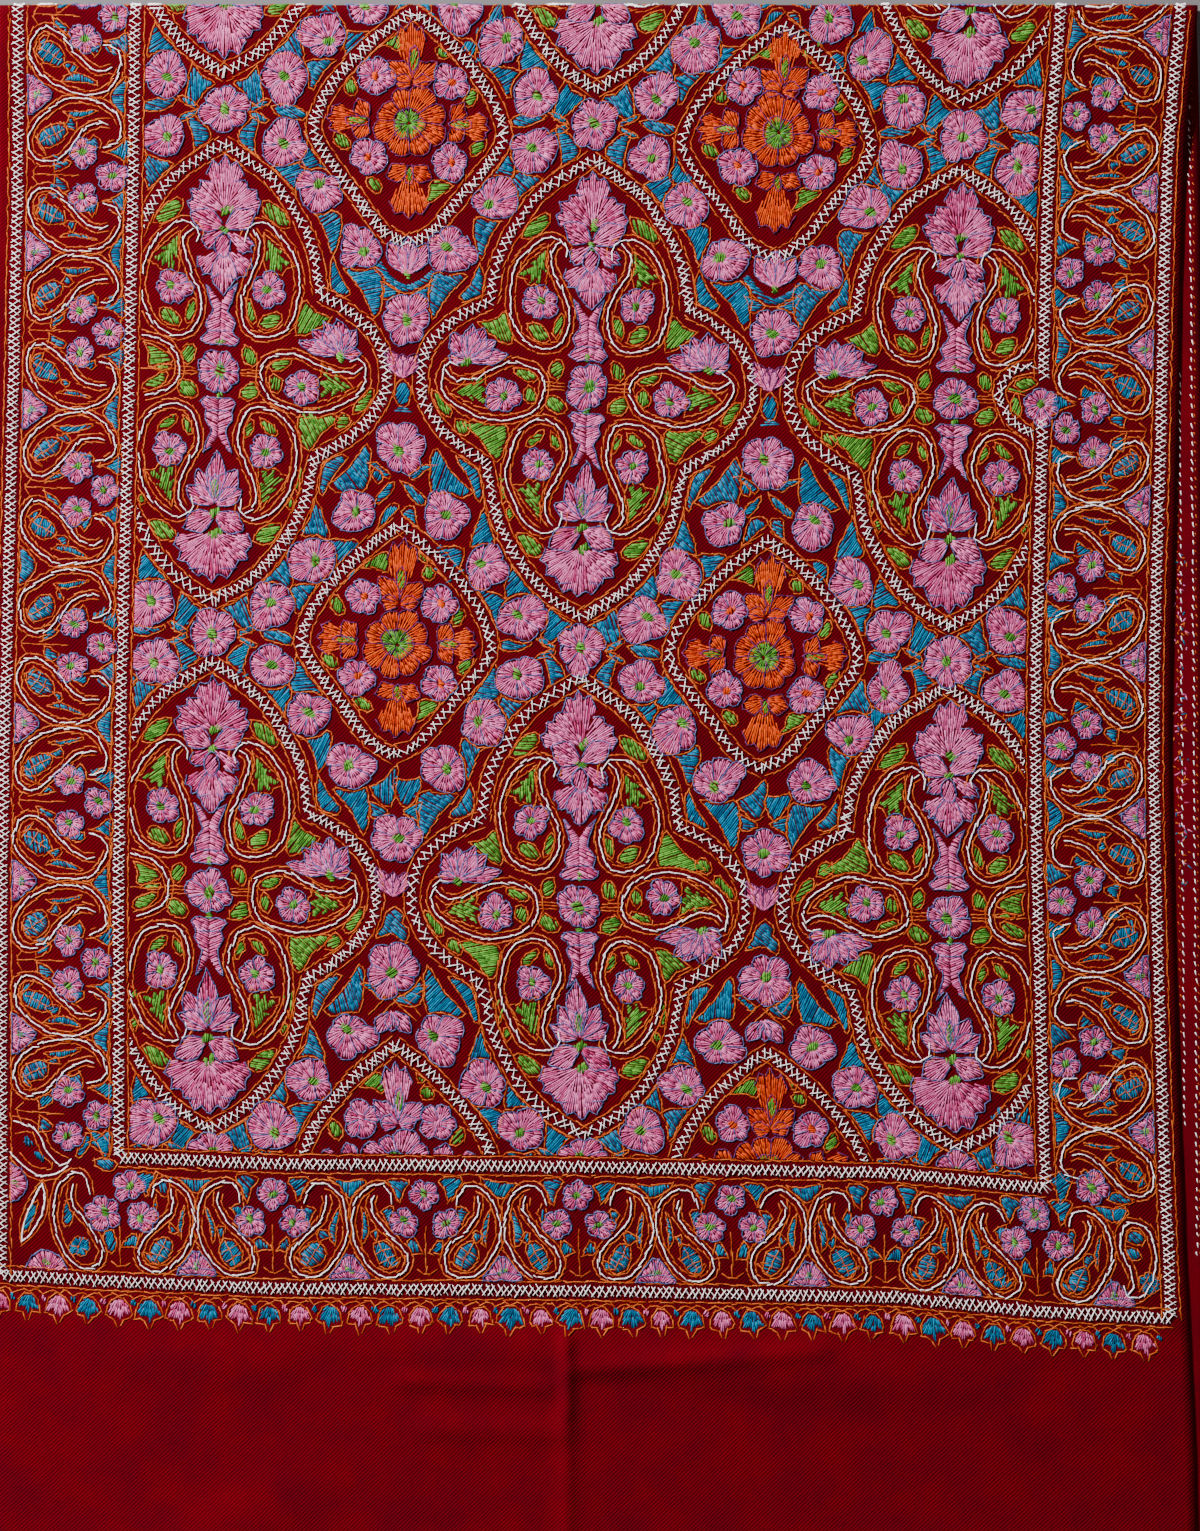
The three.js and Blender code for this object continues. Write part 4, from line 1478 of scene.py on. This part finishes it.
draw()
backs = wrong_side()
for thread, (dark, light, slot, base, parts) in THREAD_LOOKS.items():
    material = thread_material(thread + "_wool", dark, light)
    for number, part in enumerate(np.array_split(np.vstack(stitches[thread]), parts)):
        name = f"stitches_{thread}" + (f"_{number + 1}" if parts > 1 else "")
        mesh_parts = stitch_meshes(part, base, PLUMP if thread == "white" else PLAIN)
        new_piece(name, *mesh_parts, material, slot)
    if thread in backs:
        mesh_parts = stitch_meshes(backs[thread], back=True)
        new_piece(f"reverse_{thread}", *mesh_parts, material, slot)


# ---- floor, lights, camera
def placed(name, data, location=(0, 0, 0)):
    """An object of the scene at a place."""
    made = bpy.data.objects.new(name, data)
    made.location = location
    bpy.context.collection.objects.link(made)
    return made


def area_light(name, location, size, power):
    """A square light that shines at the middle of the stole."""
    data = bpy.data.lights.new(name, "AREA")
    data.shape = "SQUARE"
    data.size = size
    data.energy = power
    lamp = placed(name, data, location)
    lamp.rotation_euler = (-lamp.location).to_track_quat("-Z", "Y").to_euler()


FLOOR_HALF = 4.0
FLOOR_GREY = (89, 85, 87)
AMBIENT = 0.178
floor_mesh = bpy.data.meshes.new("floor")
floor_mesh.from_pydata([(x * FLOOR_HALF, y * FLOOR_HALF, 0) for x, y in ((-1, -1), (1, -1), (1, 1), (-1, 1))],
                       [], [(0, 1, 2, 3)])
floor_paint, _, floor_shader = new_material("floor_paint", 0.9)
floor_shader.inputs["Base Color"].default_value = linear(*FLOOR_GREY)
floor_mesh.materials.append(floor_paint)
placed("floor", floor_mesh)

area_light("key", (-1.9, 1.6, 1.8), 0.45, 374)
area_light("fill", (1.8, -1.2, 2.6), 2.4, 20)
world = bpy.data.worlds.new("studio")
world.use_nodes = True
background = world.node_tree.nodes["Background"]
background.inputs["Color"].default_value = (1, 1, 1, 1)
background.inputs["Strength"].default_value = AMBIENT
bpy.context.scene.world = world

VIEW_HEIGHT = 918.6 / 1000
CAMERA_PLACE = (0.0045, 0.0625, 2.6)
SENSOR = 36.0
camera_data = bpy.data.cameras.new("camera")
camera_data.sensor_width = SENSOR
camera_data.lens = SENSOR * CAMERA_PLACE[2] / VIEW_HEIGHT
bpy.context.scene.camera = placed("camera", camera_data, CAMERA_PLACE)
